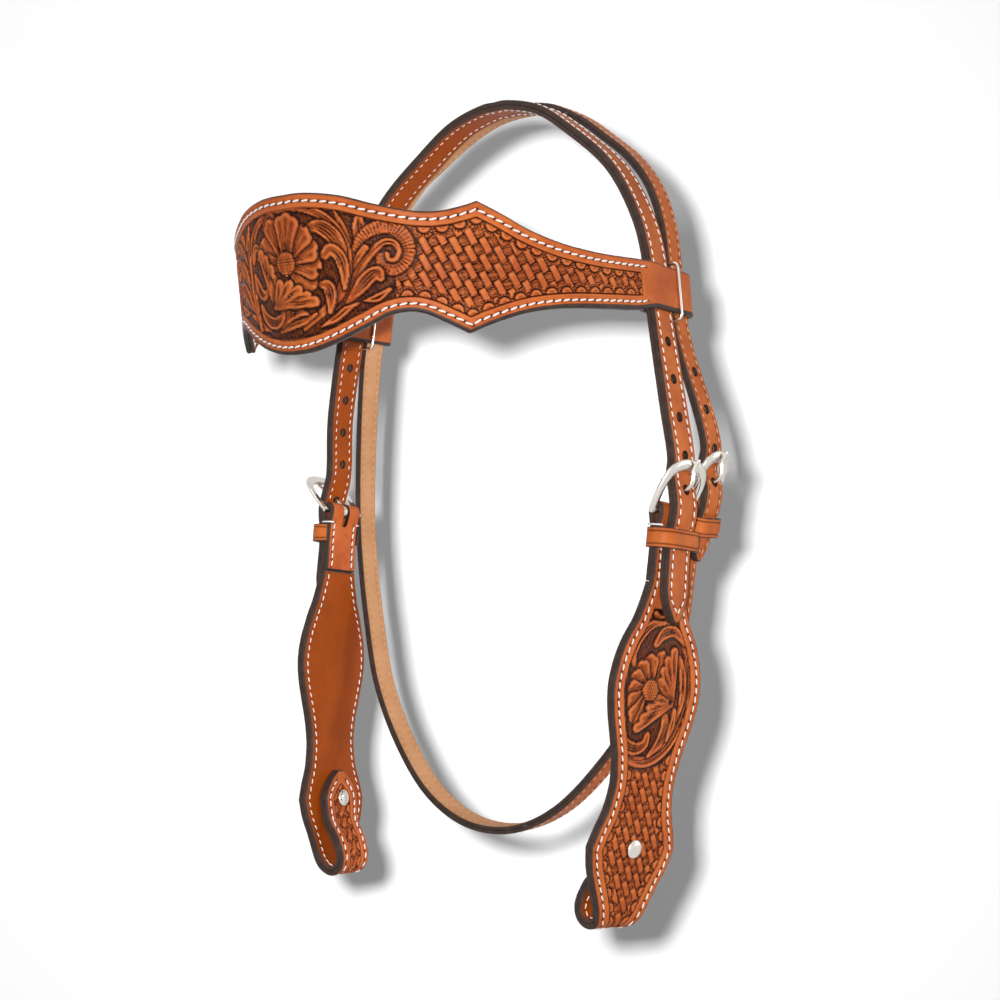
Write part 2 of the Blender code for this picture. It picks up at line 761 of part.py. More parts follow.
def build_cheek(bar_empty):
    line = Line([(x, 0.0, z) for x, z in cheek_rows()])
    screw, bar_level, seam = line.marks[11], line.marks[20], line.marks[-1]
    widths = cheek_widths(line, screw, bar_level)
    lining_end = line.marks[15] - seat_gap
    stations = spaced(0.0, bit_tab_rise, bit_tab_rise / 4)[:-1] + spaced(bit_tab_rise, line.marks[5], fine_step)[:-1]
    stations += spaced(line.marks[5], line.marks[9], fold_step * 1.5)[:-1]
    stations += spaced(line.marks[9], screw, fine_step)[:-1] + spaced(screw, lining_end, fine_step * 1.25)
    lined = list(stations)
    stations += spaced(line.marks[15], line.marks[16], fine_step)[1:] + line.marks[17:24]
    stations += spaced(line.marks[24], seam, fine_step * 1.5)

    def half_width(distance, across):
        return across * widths(distance)

    face = sheet("cheek_face_near", line, stations, half_width, 0.0, cheek_face_ply, cheek_width, 2)
    lining = sheet("cheek_lining_near", line, lined, half_width, -ply_gap, -cheek_lining_ply, cheek_width, 2)
    point, wide, along, outward = leather_frame(line, screw, cheek_width)
    screw_matrix = matrix_of(point, wide, along, outward)
    stack = 2 * (cheek_inner + cheek_face_ply) + seat_gap
    bore = holes("bit_loop_bore", [screw_matrix], barrel_diameter / 2 + seat_gap, 2 * stack + cut_overrun)
    slot = slot_cutter("cheek_slot", slot_reach, 6 * (fold_radius + cheek_face_ply))
    for item, material in ((face, face_leather), (lining, lining_leather)):
        combine(item, bore, "DIFFERENCE")
        dress(item, material)
        item.parent = bar_empty
    combine(face, slot, "DIFFERENCE")
    bore.parent = bar_empty
    slot.parent = bar_empty
    return face, lining, screw_matrix


def turned(name, profile, matrix, parent, sides=16):
    # A turned piece: its profile of radius and height, spun round the height.
    mesh = bpy.data.meshes.new(name)
    work = bmesh.new()
    corners = [work.verts.new((radius, 0.0, height)) for radius, height in profile]
    for a, b in zip(corners, corners[1:]):
        work.edges.new((a, b))
    work.to_mesh(mesh)
    work.free()
    item = add_object(name, mesh)
    spin = item.modifiers.new("turned", "SCREW")
    spin.steps = sides
    spin.render_steps = sides
    spin.use_merge_vertices = True
    spin.merge_threshold = merge_distance
    item = bake(item)
    item.parent = parent
    item.matrix_basis = matrix
    return item


def domed_head(top):
    # The outline of a domed screw head, from the middle of its top to its rim.
    radius = head_diameter / 2
    shares = [(0.0, 1.0), (0.40, 0.95), (0.72, 0.74), (0.93, 0.40), (1.0, 0.16), (0.99, 0.0)]
    return [(radius * across, top + head_height * rise) for across, rise in shares]


def build_screw(screw_matrix, bar_empty):
    # A two-part screw: its post from the carved side, its screw from the side of the horse.
    tab = 2 * cheek_inner + seat_gap
    outside = cheek_face_ply + seat_gap
    inside = tab + cheek_face_ply + seat_gap
    barrel, bore, shank = barrel_diameter / 2, barrel_bore / 2, shank_diameter / 2
    floor = cheek_face_ply / 2
    profile = domed_head(outside)
    profile += [(barrel, outside), (barrel, seat_gap - inside), (bore, seat_gap - inside), (bore, floor), (0.0, floor)]
    post = turned("bit_screw_post_near", profile, screw_matrix, bar_empty)
    facing_in = screw_matrix @ Matrix.Rotation(math.pi, 4, "X")
    profile = domed_head(inside)
    profile += [(shank, inside), (shank, -floor / 2), (0.0, -floor / 2)]
    screw = turned("bit_screw_near", profile, facing_in, bar_empty)
    groove = bmesh.new()
    bmesh.ops.create_cube(groove, size=1)
    bmesh.ops.scale(groove, vec=(2 * head_diameter, driver_slot, head_height), verts=groove.verts)
    bmesh.ops.translate(groove, vec=(0, 0, inside + head_height), verts=groove.verts)
    driver = cutter_from("driver_slot", groove)
    driver.parent = bar_empty
    driver.matrix_basis = facing_in
    combine(screw, driver, "DIFFERENCE")
    screw = bake(screw)
    for item in (post, screw):
        dress(item, satin_nickel)
    return post, screw


def build_keeper(name, neck_half, inside, billet_top, bulge, drop, bar_empty, sweep):
    outline = keeper_outline(neck_half, inside, billet_top, bulge)
    keeper = flat_piece(name, [outline], keeper_height, keeper_ply / 8, Matrix.Translation((-sweep, 0, -drop)))
    keeper.parent = bar_empty
    dress(keeper, face_leather)
    return keeper


# The browband and the wire dividers of its end loops

def browband_line(tab):
    outside = crown_outer + strap_play
    inside = crown_inner + strap_play
    front = crown_width / 2
    lap = outside - ply_gap - browband_lining_ply - seat_gap
    turn = (outside + inside) / 2
    rear = crown_width / 2 + strap_spacing + throat_width + strap_play - math.sqrt(turn ** 2 - throat_outer ** 2)
    toe = tab.to_3x3().col[1][0]
    rows = [(lap + toe * tab_lap - 2 * lay_gap, -front - tab_lap), (lap + toe * tab_lap / 2, -front - 0.62 * tab_lap)]
    rows.append((-0.35 * inside, -front - 0.27 * tab_lap))
    rows += [(-inside, 0.5 * strap_play - front), (-inside, 0.0), (-inside, rear)]
    rows += [(outside - turn * (1 + 0.7), rear + 0.7 * turn), (outside - turn, rear + turn)]
    rows += [(outside - turn * (1 - 0.7), rear + 0.7 * turn), (outside, rear), (outside, 0.0)]
    rows += [(outside, -front - 0.27 * tab_lap)]
    points = [in_world(tab, x, 0.0, y) for x, y in rows]
    start = points[-1]
    for degrees in (20, 34, 48, 62, 76, 90, 104, 118):
        angle = math.radians(degrees)
        across = math.copysign(abs(math.cos(angle)) ** bend_power, math.cos(angle))
        forward = math.sin(angle) ** bend_power
        points.append((start[0] * across, start[1] - browband_depth * forward, start[2] - browband_dip * forward))
    return Line(points), 11, 17


def build_browband(tab):
    line, front_mark, centre_mark = browband_line(tab)
    front, centre = line.marks[front_mark], line.marks[centre_mark]
    arc = centre - front
    up_at_tab = np.array(tab.to_3x3().col[2])
    up_at_front = unit(np.array([0.0, -browband_rake, 1.0]))
    front_y = line.at(centre)[1]
    tab_y = line.at(front)[1]

    def upright(point):
        share = min(max((point[1] - front_y) / (tab_y - front_y), 0.0), 1.0) ** 2
        return up_at_front * (1 - share) + up_at_tab * share

    crest_shares = [(0.0, 1.0), (0.06, 0.997), (0.15, 0.93), (0.24, 0.80), (0.33, 0.712), (0.385, 0.714)]
    crest_shares += [(0.44, 0.78), (0.472, 0.838)]
    crest_shares_rear = [(0.472, 0.838), (0.535, 0.69), (0.60, 0.53), (0.69, 0.39), (0.80, 0.315), (0.92, 0.30)]
    belly_shares = [(0.0, 1.0), (0.055, 0.975), (0.13, 0.87), (0.21, 0.69), (0.27, 0.545), (0.315, 0.506)]
    belly_shares += [(0.35, 0.53), (0.40, 0.64), (0.458, 0.785)]
    belly_shares_rear = [(0.458, 0.785), (0.51, 0.665), (0.60, 0.51), (0.70, 0.43), (0.85, 0.395), (0.94, 0.375)]

    def edge(height, shares, shares_rear):
        rows = [(centre - along * arc, share * height) for along, share in shares]
        rear = [(centre - along * arc, share * height) for along, share in shares_rear]
        rear += [(front, 0.52 * tab_height), (front - tab_lap, tab_height / 2), (0.0, tab_height / 2)]
        return smooth_widths(rear[::-1], rows[::-1])

    crest = edge(crest_height, crest_shares, crest_shares_rear)
    belly = edge(belly_height, belly_shares, belly_shares_rear)

    def height(distance, across):
        return across * (crest(distance) if across > 0 else belly(distance))

    corners = sorted([centre - 0.472 * arc, centre - 0.458 * arc])
    panel = spaced(front, corners[0], fine_step * 1.25)[:-1] + [corners[0]]
    panel += spaced(corners[1], centre, fine_step * 1.25)
    tabs = spaced(0.0, line.marks[5], fine_step)[:-1] + spaced(line.marks[5], line.marks[9], fold_step)[:-1]
    tabs += spaced(line.marks[9], front, fine_step * 2)[:-1]
    face = sheet("browband_face", line, tabs + panel, height, 0.0, browband_face_ply, upright, 2, True)
    lining = sheet("browband_lining", line, panel, height, -ply_gap, -browband_lining_ply, upright, 2, True)
    dress(face, face_leather)
    dress(lining, lining_leather)


def build_dividers(tab):
    # A rectangle of wire round both layers of the tab, between the two straps.
    half = divider_wire / 2
    clear = strap_play + browband_face_ply + seat_gap + half
    right, left = crown_outer + clear, -crown_inner - clear
    top = divider_height / 2 - half
    curve = bpy.data.curves.new("browband_divider_near", "CURVE")
    curve.dimensions = "3D"
    curve.bevel_depth = half
    curve.bevel_resolution = 1
    spline = curve.splines.new("POLY")
    places = []
    centres = [(right, top, 0), (left, top, 90), (left, -top, 180), (right, -top, 270)]
    for x, z, start in centres:
        x -= math.copysign(divider_corner, x)
        z -= math.copysign(divider_corner, z)
        for degrees in (0, 30, 60, 90):
            angle = math.radians(start + degrees)
            places.append((x + divider_corner * math.cos(angle), z + divider_corner * math.sin(angle)))
    spline.points.add(len(places) - 1)
    for corner, (x, z) in zip(spline.points, places):
        corner.co = (x, 0, z, 1)
    spline.use_cyclic_u = True
    divider = bake(add_object("browband_divider_near", curve))
    divider.matrix_basis = tab @ Matrix.Translation((0, (crown_width + strap_spacing) / 2, 0))
    dress(divider, satin_nickel)
    mirrored_copy(divider, "browband_divider_off")


def build_headstall():
    bar = place_matrix(bar_spread, -bar_forward, bar_drop, side_splay, side_lean)
    throat_bar = place_matrix(throat_bar_spread, throat_bar_setback, throat_bar_drop, throat_splay, throat_lean)
    crown_line, tab_level, blades = build_crown(bar)
    throat_blade = build_throatlatch(crown_line, tab_level, throat_bar)

    near = add_empty("bar_near", bar)
    off = add_empty("bar_off", mirrored_matrix(bar))
    throat = add_empty("bar_throatlatch", throat_bar)
    face, lining, screw_matrix = build_cheek(near)
    billet_top = ply_gap / 2 + cheek_face_ply + lay_gap + crown_inner + crown_outer
    keeper = build_keeper("keeper_near", neck_width / 2, ply_gap / 2 + cheek_face_ply, billet_top, keeper_bulge,
                          keeper_drop, near, 0.0)
    post, screw = build_screw(screw_matrix, near)
    inner_width = neck_width + 2 * neck_side_gap
    for item, name in (
            (face, "cheek_face_off"), (lining, "cheek_lining_off"), (keeper, "keeper_off"),
            (post, "bit_screw_post_off"), (screw, "bit_screw_off")):
        mirrored_copy(item, name, off)
    make_buckle("buckle_near", inner_width, blades[0], near, frame_tilt)
    make_buckle("buckle_off", inner_width, blades[1], off, off_frame_tilt, -1)

    throat_top = ply_gap / 2 + throat_face_ply + 3.2 * lay_gap + throat_inner + throat_outer
    build_keeper("keeper_throatlatch", throat_width / 2, ply_gap / 2 + throat_face_ply, throat_top,
                 throat_keeper_bulge, throat_keeper_drop, throat, throat_inward(throat_keeper_drop))
    make_buckle("buckle_throatlatch", throat_width + 2 * neck_side_gap, throat_blade, throat, throat_frame_tilt)

    point, wide, along, outward = leather_frame(crown_line, tab_level, side_width)
    tab = matrix_of(point, outward, wide, along)
    build_browband(tab)
    build_dividers(tab)


build_headstall()
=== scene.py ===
import math

import bpy
import numpy as np
from mathutils import Matrix, Vector


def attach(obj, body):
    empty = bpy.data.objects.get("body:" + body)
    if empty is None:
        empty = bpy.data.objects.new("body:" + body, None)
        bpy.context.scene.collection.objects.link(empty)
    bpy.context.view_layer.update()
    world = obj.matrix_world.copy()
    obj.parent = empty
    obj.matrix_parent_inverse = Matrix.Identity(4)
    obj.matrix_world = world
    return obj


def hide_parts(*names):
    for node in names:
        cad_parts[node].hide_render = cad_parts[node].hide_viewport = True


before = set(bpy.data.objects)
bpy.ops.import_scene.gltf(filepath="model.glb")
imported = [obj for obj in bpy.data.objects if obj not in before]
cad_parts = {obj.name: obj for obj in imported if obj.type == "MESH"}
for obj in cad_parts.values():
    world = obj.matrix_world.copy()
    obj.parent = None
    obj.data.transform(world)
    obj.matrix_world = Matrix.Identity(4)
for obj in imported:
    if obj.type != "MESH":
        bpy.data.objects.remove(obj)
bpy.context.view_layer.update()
print("frame loaded:", len(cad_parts), "nodes")

# Lengths here are in millimetres, in the frame of the CAD, and become metres where a mesh is made.
# +X is the horse's near side, where the throatlatch buckles, -Y is forward and +Z is up.


# Materials

def srgb(code):
    channels = [int(code[k:k + 2], 16) / 255 for k in (1, 3, 5)]
    return (*[c / 12.92 if c <= 0.04045 else ((c + 0.055) / 1.055) ** 2.4 for c in channels], 1.0)


def addNode(tree, kind, settings=None, links=None):
    # One node: settings go to its properties or its sockets, links come into its sockets.
    made = tree.nodes.new(kind)
    for key, value in (settings or {}).items():
        if isinstance(key, int) or key in made.inputs:
            made.inputs[key].default_value = value
        else:
            setattr(made, key, value)
    for key, source in (links or {}).items():
        tree.links.new(source, made.inputs[key])
    return made


def newMaterial(name, roughness, metallic=0.0):
    material = bpy.data.materials.new(name)
    material.use_nodes = True
    tree = material.node_tree
    shader = tree.nodes["Principled BSDF"]
    shader.inputs["Roughness"].default_value = roughness
    shader.inputs["Metallic"].default_value = metallic
    return material, tree, shader


leatherLook = {
    "mottle": 55.0,      # clouds of dye about 18 mm across
    "fibre": 260.0,      # fine unevenness about 4 mm across
    "grain": 2300.0,     # pores about 0.4 mm apart
    "poreDepth": 0.00005,
    "edgeSheen": "#54453F",
    "wornAndHighlight": "#E08A52",
    "sheen": 0.09,
}


def leatherMaterial(name, light, mid, recessDyeAndShade, roughness, poreShare=1.0, edgeDye="#2B211E"):
    # Vegetable-tanned cowhide, oiled: dye lies darkest in the recesses, where painted shade is added to it, and is
    # rubbed off the crests, where a painted highlight is added, and its edges are dressed dark and burnished. The
    # attributes say where.
    look = leatherLook
    material, tree, shader = newMaterial(name, roughness)
    place = addNode(tree, "ShaderNodeTexCoord").outputs["Object"]
    mottle = addNode(tree, "ShaderNodeTexNoise", {"Scale": look["mottle"], "Detail": 4.0}, {"Vector": place})
    fibre = addNode(tree, "ShaderNodeTexNoise", {"Scale": look["fibre"], "Detail": 3.0}, {"Vector": place})
    shader.inputs["Specular IOR Level"].default_value = look["sheen"]
    both = addNode(tree, "ShaderNodeMath", {"operation": "MULTIPLY_ADD", 1: 0.45},
                   {0: fibre.outputs[0], 2: mottle.outputs[0]})
    tone = addNode(tree, "ShaderNodeMapRange", {"From Min": 0.52, "From Max": 0.92},
                   {"Value": both.outputs[0]})
    skin = addNode(tree, "ShaderNodeMix", {"data_type": "RGBA", 6: srgb(mid), 7: srgb(light)},
                   {0: tone.outputs[0]})
    # The recess attribute darkens the skin towards the recess colour: antique dye in the cuts, with painted shade
    # added.
    recess = addNode(tree, "ShaderNodeAttribute", {"attribute_name": "recess"})
    dyedAndShaded = addNode(tree, "ShaderNodeMix", {"data_type": "RGBA", 7: srgb(recessDyeAndShade)},
                   {0: recess.outputs["Fac"], 6: skin.outputs[2]})
    # A negative recess lightens the crests towards the worn colour: antique rubbed off, with a painted highlight
    # there.
    crest = addNode(tree, "ShaderNodeMath", {"operation": "MULTIPLY", 1: -1.0, "use_clamp": True},
                    {0: recess.outputs["Fac"]})
    dyedAndShaded = addNode(tree, "ShaderNodeMix", {"data_type": "RGBA", 7: srgb(look["wornAndHighlight"])},
                   {0: crest.outputs[0], 6: dyedAndShaded.outputs[2]})
    edge = addNode(tree, "ShaderNodeAttribute", {"attribute_name": "edge"})
    dressing = addNode(tree, "ShaderNodeMix", {"data_type": "RGBA", 6: srgb(edgeDye), 7: srgb(look["edgeSheen"])},
                       {0: fibre.outputs[0]})
    colour = addNode(tree, "ShaderNodeMix", {"data_type": "RGBA"},
                     {0: edge.outputs["Fac"], 6: dyedAndShaded.outputs[2], 7: dressing.outputs[2]})
    tree.links.new(colour.outputs[2], shader.inputs["Base Color"])
    gloss = addNode(tree, "ShaderNodeMapRange", {"To Min": roughness - 0.07, "To Max": roughness + 0.10},
                    {"Value": fibre.outputs[0]})
    tree.links.new(gloss.outputs[0], shader.inputs["Roughness"])
    pores = addNode(tree, "ShaderNodeTexNoise", {"Scale": look["grain"], "Detail": 2.0}, {"Vector": place})
    bump = addNode(tree, "ShaderNodeBump", {"Strength": 0.5 * poreShare, "Distance": look["poreDepth"]},
                   {"Height": pores.outputs[0]})
    tree.links.new(bump.outputs[0], shader.inputs["Normal"])
    return material


# Skirting leather, tooled and antiqued: russet, with near-black brown in the cuts from antique dye and painted shade
toolingLeather = leatherMaterial("toolingLeather", "#D06E36", "#B5562A", "#230B05", 0.40)
# Strap leather of the same tannage, plain and a little more yellow
strapLeather = leatherMaterial("strapLeather", "#D07238", "#B85C2B", "#2E140B", 0.41)
# Lining leather, smooth and thin
liningLeather = leatherMaterial("liningLeather", "#A54A0E", "#95420A", "#4A2410", 0.44, 0.6, "#3A2C27")
# The natural flesh side of the throatlatch's lining: pale, with a soft nap
fleshLeather = leatherMaterial("fleshLeather", "#CE9A70", "#C28C62", "#9A6238", 0.66, 1.6)
# The dyed and burnished wall of a punched hole or slot, almost black: its dye with painted shade
cutLeather = newMaterial("dyedCutAndShade", 0.55)[0]
cutLeather.node_tree.nodes["Principled BSDF"].inputs["Base Color"].default_value = srgb("#2A1610")


def threadMaterial(name, dark, light):
    # Waxed, twisted polyester thread with a slight gloss
    material, tree, shader = newMaterial(name, 0.5)
    place = addNode(tree, "ShaderNodeTexCoord").outputs["Object"]
    noise = addNode(tree, "ShaderNodeTexNoise", {"Scale": 900.0}, {"Vector": place})
    tone = addNode(tree, "ShaderNodeMix", {"data_type": "RGBA", 6: srgb(dark), 7: srgb(light)},
                   {0: noise.outputs[0]})
    tree.links.new(tone.outputs[2], shader.inputs["Base Color"])
    return material


thread = threadMaterial("waxedThread", "#ECE8E1", "#FFFFFF")
tanThread = threadMaterial("waxedThreadTan", "#CC9A72", "#E4BD98")  # the throatlatch's own

# Satin nickel plate on brass or steel: warm grey metal, soft reflections
nickel, nickelTree, nickelShader = newMaterial("satinNickel", 0.24, 1.0)
nickelPlace = addNode(nickelTree, "ShaderNodeTexCoord").outputs["Object"]
nickelNoise = addNode(nickelTree, "ShaderNodeTexNoise", {"Scale": 120.0, "Detail": 2.0},
                      {"Vector": nickelPlace})
nickelTone = addNode(nickelTree, "ShaderNodeMix", {"data_type": "RGBA", 6: srgb("#D2CCC3"), 7: srgb("#DAD5CD")},
                     {0: nickelNoise.outputs[0]})
nickelTree.links.new(nickelTone.outputs[2], nickelShader.inputs["Base Color"])
nickelGloss = addNode(nickelTree, "ShaderNodeMapRange", {"To Min": 0.22, "To Max": 0.27},
                      {"Value": nickelNoise.outputs[0]})
nickelTree.links.new(nickelGloss.outputs[0], nickelShader.inputs["Roughness"])
print("materials made")


# Lines that the leather follows, as in the CAD

def unit(vectors):
    return vectors / np.linalg.norm(vectors, axis=-1, keepdims=True)


class Route:
    # A centripetal Catmull-Rom curve through points, measured by its length.
    def __init__(self, points, samples=24):
        points = np.array(points, dtype=float)
        padded = np.vstack([2 * points[0] - points[1], points, 2 * points[-1] - points[-2]])
        share = np.arange(samples)[:, None] / samples
        traced = []
        for corners in zip(padded, padded[1:], padded[2:], padded[3:]):
            knots = [0.0]
            for a, b in zip(corners, corners[1:]):
                knots.append(knots[-1] + math.sqrt(np.linalg.norm(b - a)))
            place = knots[1] + share * (knots[2] - knots[1])
            level = list(corners)
            for reach in (1, 2):
                level = [((knots[i + reach] - place) * level[i] + (place - knots[i]) * level[i + 1])
                         / (knots[i + reach] - knots[i]) for i in range(len(level) - 1)]
            traced.append(((knots[2] - place) * level[0] + (place - knots[1]) * level[1]) / (knots[2] - knots[1]))
        self.points = np.vstack(traced + [points[-1:]])
        steps = np.linalg.norm(np.diff(self.points, axis=0), axis=1)
        self.distances = np.concatenate([[0.0], np.cumsum(steps)])
        self.length = self.distances[-1]
        self.marks = self.distances[::samples]

    def at(self, distance):
        return np.stack([np.interp(distance, self.distances, axis) for axis in self.points.T], axis=-1)

    def direction(self, distance):
        reach = self.length / 2000
        ahead = self.at(np.minimum(distance + reach, self.length))
        return unit(ahead - self.at(np.maximum(distance - reach, 0.0)))


def smoothWidths(*runs):
    places, widths = [], []
    for rows in runs:
        line = Route(rows, 12)
        places += list(line.points[:, 0])
        widths += list(line.points[:, 1])
    return lambda distance: np.interp(distance, places, widths)


def ease(value, low, high):
    share = np.clip((value - low) / (high - low), 0, 1)
    return share * share * (3 - 2 * share)


class Lay:
    # Where a piece of leather lies: its line, and which way its width points at each place.
    def __init__(self, route, widthOf, toWorld=None):
        self.route, self.widthOf, self.toWorld = route, widthOf, toWorld

    def frames(self, distance):
        point = self.route.at(distance)
        along = self.route.direction(distance)
        wide = self.widthOf(point)
        wide = unit(wide - np.sum(wide * along, axis=-1, keepdims=True) * along)
        outward = np.cross(wide, along)
        if self.toWorld is not None:
            turn, shift = self.toWorld
            point, outward = point @ turn.T + shift, outward @ turn.T
            wide, along = wide @ turn.T, along @ turn.T
        return point, wide, along, outward


layout = {
    "sideSpread": 97.0, "archDrop": 101.1, "archForward": 8.0, "barDrop": 201.5, "halfWayShare": 0.504,
    "archToe": -0.06, "barToe": 0.06, "cheekTwist": 0.12, "turnBack": 32.0, "bowStart": 60.0,
    "foldRadius": 1.8, "throatOffset": 17.0, "strapSpacing": 2.7, "strapPlay": 1.0, "gap": 0.3, "layGap": 0.7,
}
bars = {
    # Each buckle bar's middle, and how far its strap leans outward and to the rear on its way up
    "cheek": {"spread": 104.8, "rearward": -9.0, "drop": layout["barDrop"], "splay": 0.026, "lean": 0.117},
    "throat": {"spread": 104.2, "rearward": 17.0, "drop": 196.5, "splay": 0.200, "lean": 0.030},
}


def innerOf(look):
    # From a piece's seam to the back of its lining
    return layout["gap"] + look["lining"]


def barFrame(name):
    # A frame on the near side: outward, along the bar to the rear, and up along the strap.
    bar = bars[name]
    centre = np.array([bar["spread"], bar["rearward"], innerOf(crown) - bar["drop"]])
    upward = unit(np.array([bar["splay"], bar["lean"], 1.0]))
    wide = sideWidth(centre)
    wide = unit(wide - wide.dot(upward) * upward)
    return np.stack([np.cross(wide, upward), wide, upward], axis=1), centre


def atBar(name, places):
    turn, centre = barFrame(name)
    return np.asarray(places, dtype=float) @ turn.T + centre


def sideWidth(point):
    share = np.clip((-point[..., 2] - layout["archDrop"]) / (layout["barDrop"] - layout["archDrop"]), 0, 1)
    toe = layout["archToe"] + (layout["barToe"] - layout["archToe"]) * share
    return np.stack([toe * point[..., 0] / layout["sideSpread"], np.ones_like(toe), np.zeros_like(toe)], axis=-1)


def widthNear(name, reach, bothSides):
    turn, centre = barFrame(name)

    def width(point):
        side = np.where(point[..., :1] < 0, -1.0, 1.0) if bothSides else np.ones_like(point[..., :1])
        flip = np.concatenate([side, np.ones_like(side), np.ones_like(side)], axis=-1)
        away = np.linalg.norm(point * flip - centre, axis=-1, keepdims=True)
        share = np.clip(away / reach - 1, 0, 1)
        return sideWidth(point) * share + turn[:, 1] * flip * (1 - share)
    return width


def cheekWidth(point):
    share = np.clip((-point[..., 2] - layout["turnBack"]) / (layout["bowStart"] - layout["turnBack"]), 0, 1)
    return np.stack([layout["cheekTwist"] * share, np.ones_like(share), np.zeros_like(share)], axis=-1)


def mirroredRows(rows):
    return [(-x, y, z) for x, y, z in reversed(rows[:-1])]


# Sizes of the pieces, and the lines that the straps lie along

buckle = {
    "height": 26.2, "plate": 2.1, "tilt": 25.0, "topBand": 5.0, "legBand": 3.6, "swell": 1.0,
    "shoulder": 0.36, "archPower": 2.6,
    "bar": 1.5, "eye": 1.8, "tongueThick": 1.7, "tongueWidth": 3.0,
}
keeper = {"ply": 1.7, "height": 9.2, "lineInset": 1.75, "lineWidth": 0.34}
crown = {
    "half": 7.95, "face": 2.4, "lining": 2.0, "tail": 50.0, "point": 15.0, "blunt": 0.16,
    "keeperDrop": 12.5, "keeperBulge": 1.4, "keeperLays": 1.0, "tilt": 25.0, "offTilt": 44.0,
    "foldPly": 2.5, "frameInside": 22.8,
    "holePitch": 17.5, "holes": 4, "holeMark": 6, "hole": 4.8, "seamInset": 2.7, "step": 0.9, "across": 24,
    "vertex": 4.0, "shoulder": 9.5,
}
throat = {
    "half": 6.35, "face": 1.9, "lining": 1.6, "tail": 27.5, "turnBack": 25.5, "point": 12.0,
    "blunt": 0.16, "seamMark": -13,
    "keeperDrop": 10.8, "keeperBulge": 0.3, "keeperLays": 3.2, "tilt": 17.0,
    "foldPly": 1.9, "frameInside": 13.7, "sweep": 1.6,
    "liftNear": 4.2, "liftPoll": 3.0, "liftOff": 10.0, "liftReach": 30.0, "rowStep": 19.0,
    "loopDepth": 162.0, "loopHalfWidth": 103.0, "loopSetback": 8.9, "loopForward": 16.4,
    "holePitch": 18.2, "holes": 3, "holeMark": 6, "hole": 4.8, "seamInset": 2.2, "step": 1.0, "across": 20,
    "vertex": 3.4, "shoulder": 8.0,
}
cheek = {
    "face": 2.5, "lining": 1.9, "drop": 152.0, "half": 28.1, "neck": 10.9, "flare": 14.25, "tabRise": 14.5,
    "loop": 39.0, "loopGap": 8.4, "bow": 6.3, "bore": 5.0, "boreMiddle": 2.5, "step": 0.6,
    "across": 84, "seamInset": 3.1, "borderInset": 6.9, "stampPitch": 7.0,
    "stampRadius": 2.4, "flowerDrop": 81.0, "flowerAside": -4.0, "fieldTop": 44.0,
}
browband = {
    "face": 2.3, "lining": 1.6, "rake": 0.14, "tabRise": 1.5, "depth": 126.0, "dip": 2.2, "bend": 1.05,
    "crest": 35.2, "belly": 32.8, "tab": 20.6, "lap": 13.0,
    "step": 0.62, "across": 116, "seamInset": 3.35, "borderInset": 6.4, "fieldEnd": 168.0, "weaveFrom": 56.0,
    "stampPitch": 7.2, "stampRadius": 2.6,
}
# Of the arch: across, forward and down, from its side to the poll
archShares = [(1.0, 1.0, 1.0), (0.985, 0.92, 0.87), (0.915, 0.70, 0.66), (0.742, 0.42, 0.393),
              (0.483, 0.18, 0.182), (0.279, 0.05, 0.054), (0.07, 0.0, 0.0)]
# Of the loop: across, forward, down, and how far back the buckles push the off and the near side
loopShares = [(1.07, 0.0, 0.0, 0.77, 1.0), (1.01, 0.116, 0.21, 0.49, 0.9), (0.92, 0.238, 0.395, 0.12, 0.66),
              (0.813, 0.45, 0.586, 0.0, 0.32), (0.647, 0.695, 0.753, 0.0, 0.10), (0.42, 0.90, 0.905, 0.0, 0.0),
              (0.20, 0.985, 0.980, 0.0, 0.0), (0.0, 1.0, 1.0, 0.0, 0.0)]


def noSweep(drop):
    return 0.0


def throatSweep(drop):
    return throat["sweep"] * (max(drop - 2 * layout["foldRadius"], 0.0) / throat["turnBack"]) ** 2


def cheekSweep(drop):
    share = max(drop - layout["bowStart"], 0.0) / (cheek["drop"] - layout["bowStart"])
    return cheek["bow"] * share ** 2


def plateBack(height, tilt):
    # How far out the back of a tilted plate lies, at a height above its bar.
    return height * math.tan(tilt) - buckle["plate"] / 2 / math.cos(tilt)


def openingHeight(inside, half):
    # How high a plate's opening is over a strap's edge, along the plate.
    shoulder, power = buckle["shoulder"] * buckle["height"], buckle["archPower"]
    across = half / (inside / 2 + buckle["swell"])
    return shoulder + (buckle["height"] - buckle["topBand"] - shoulder) * (1 - across ** power) ** (1 / power)


def barSeat(look):
    # From the bar's middle out to the seam of the billet that goes over it
    return layout["foldRadius"] + look["foldPly"] + layout["layGap"] + innerOf(look)


def billetSeat(look):
    # The same below the bar, where the billet lies on the folded leather
    return 1.5 * layout["gap"] + look["foldPly"] + innerOf(look)


def billetRows(barName, look, sweep):
    # A billet from its point up: over the folded leather, round the bar, in behind the plate.
    tilt, height, lay = math.radians(look["tilt"]), buckle["height"], layout["layGap"]
    low = openingHeight(look["frameInside"], look["half"] + 3 * layout["gap"]) * math.cos(tilt)
    high = 1.04 * height * math.cos(tilt)
    behind = plateBack(low, tilt) - lay - look["face"]
    drops = [look["tail"], 0.62 * look["tail"], look["keeperDrop"] + keeper["height"] / 2,
             look["keeperDrop"] - keeper["height"] / 2]
    rows = []
    for lift, drop in zip((2 * lay, lay / 2, 0.0, lay), drops):
        rows.append((billetSeat(look) + lift - sweep(drop), 0.0, -drop))
    over = barSeat(look)
    rows += [(0.93 * over, 0.0, -0.16 * height), (over, 0.0, 0.06 * height), (0.81 * over, 0.0, 0.33 * height)]
    rows += [(behind, 0.0, low), (0.94 * behind, 0.0, high)]
    return list(atBar(barName, rows))


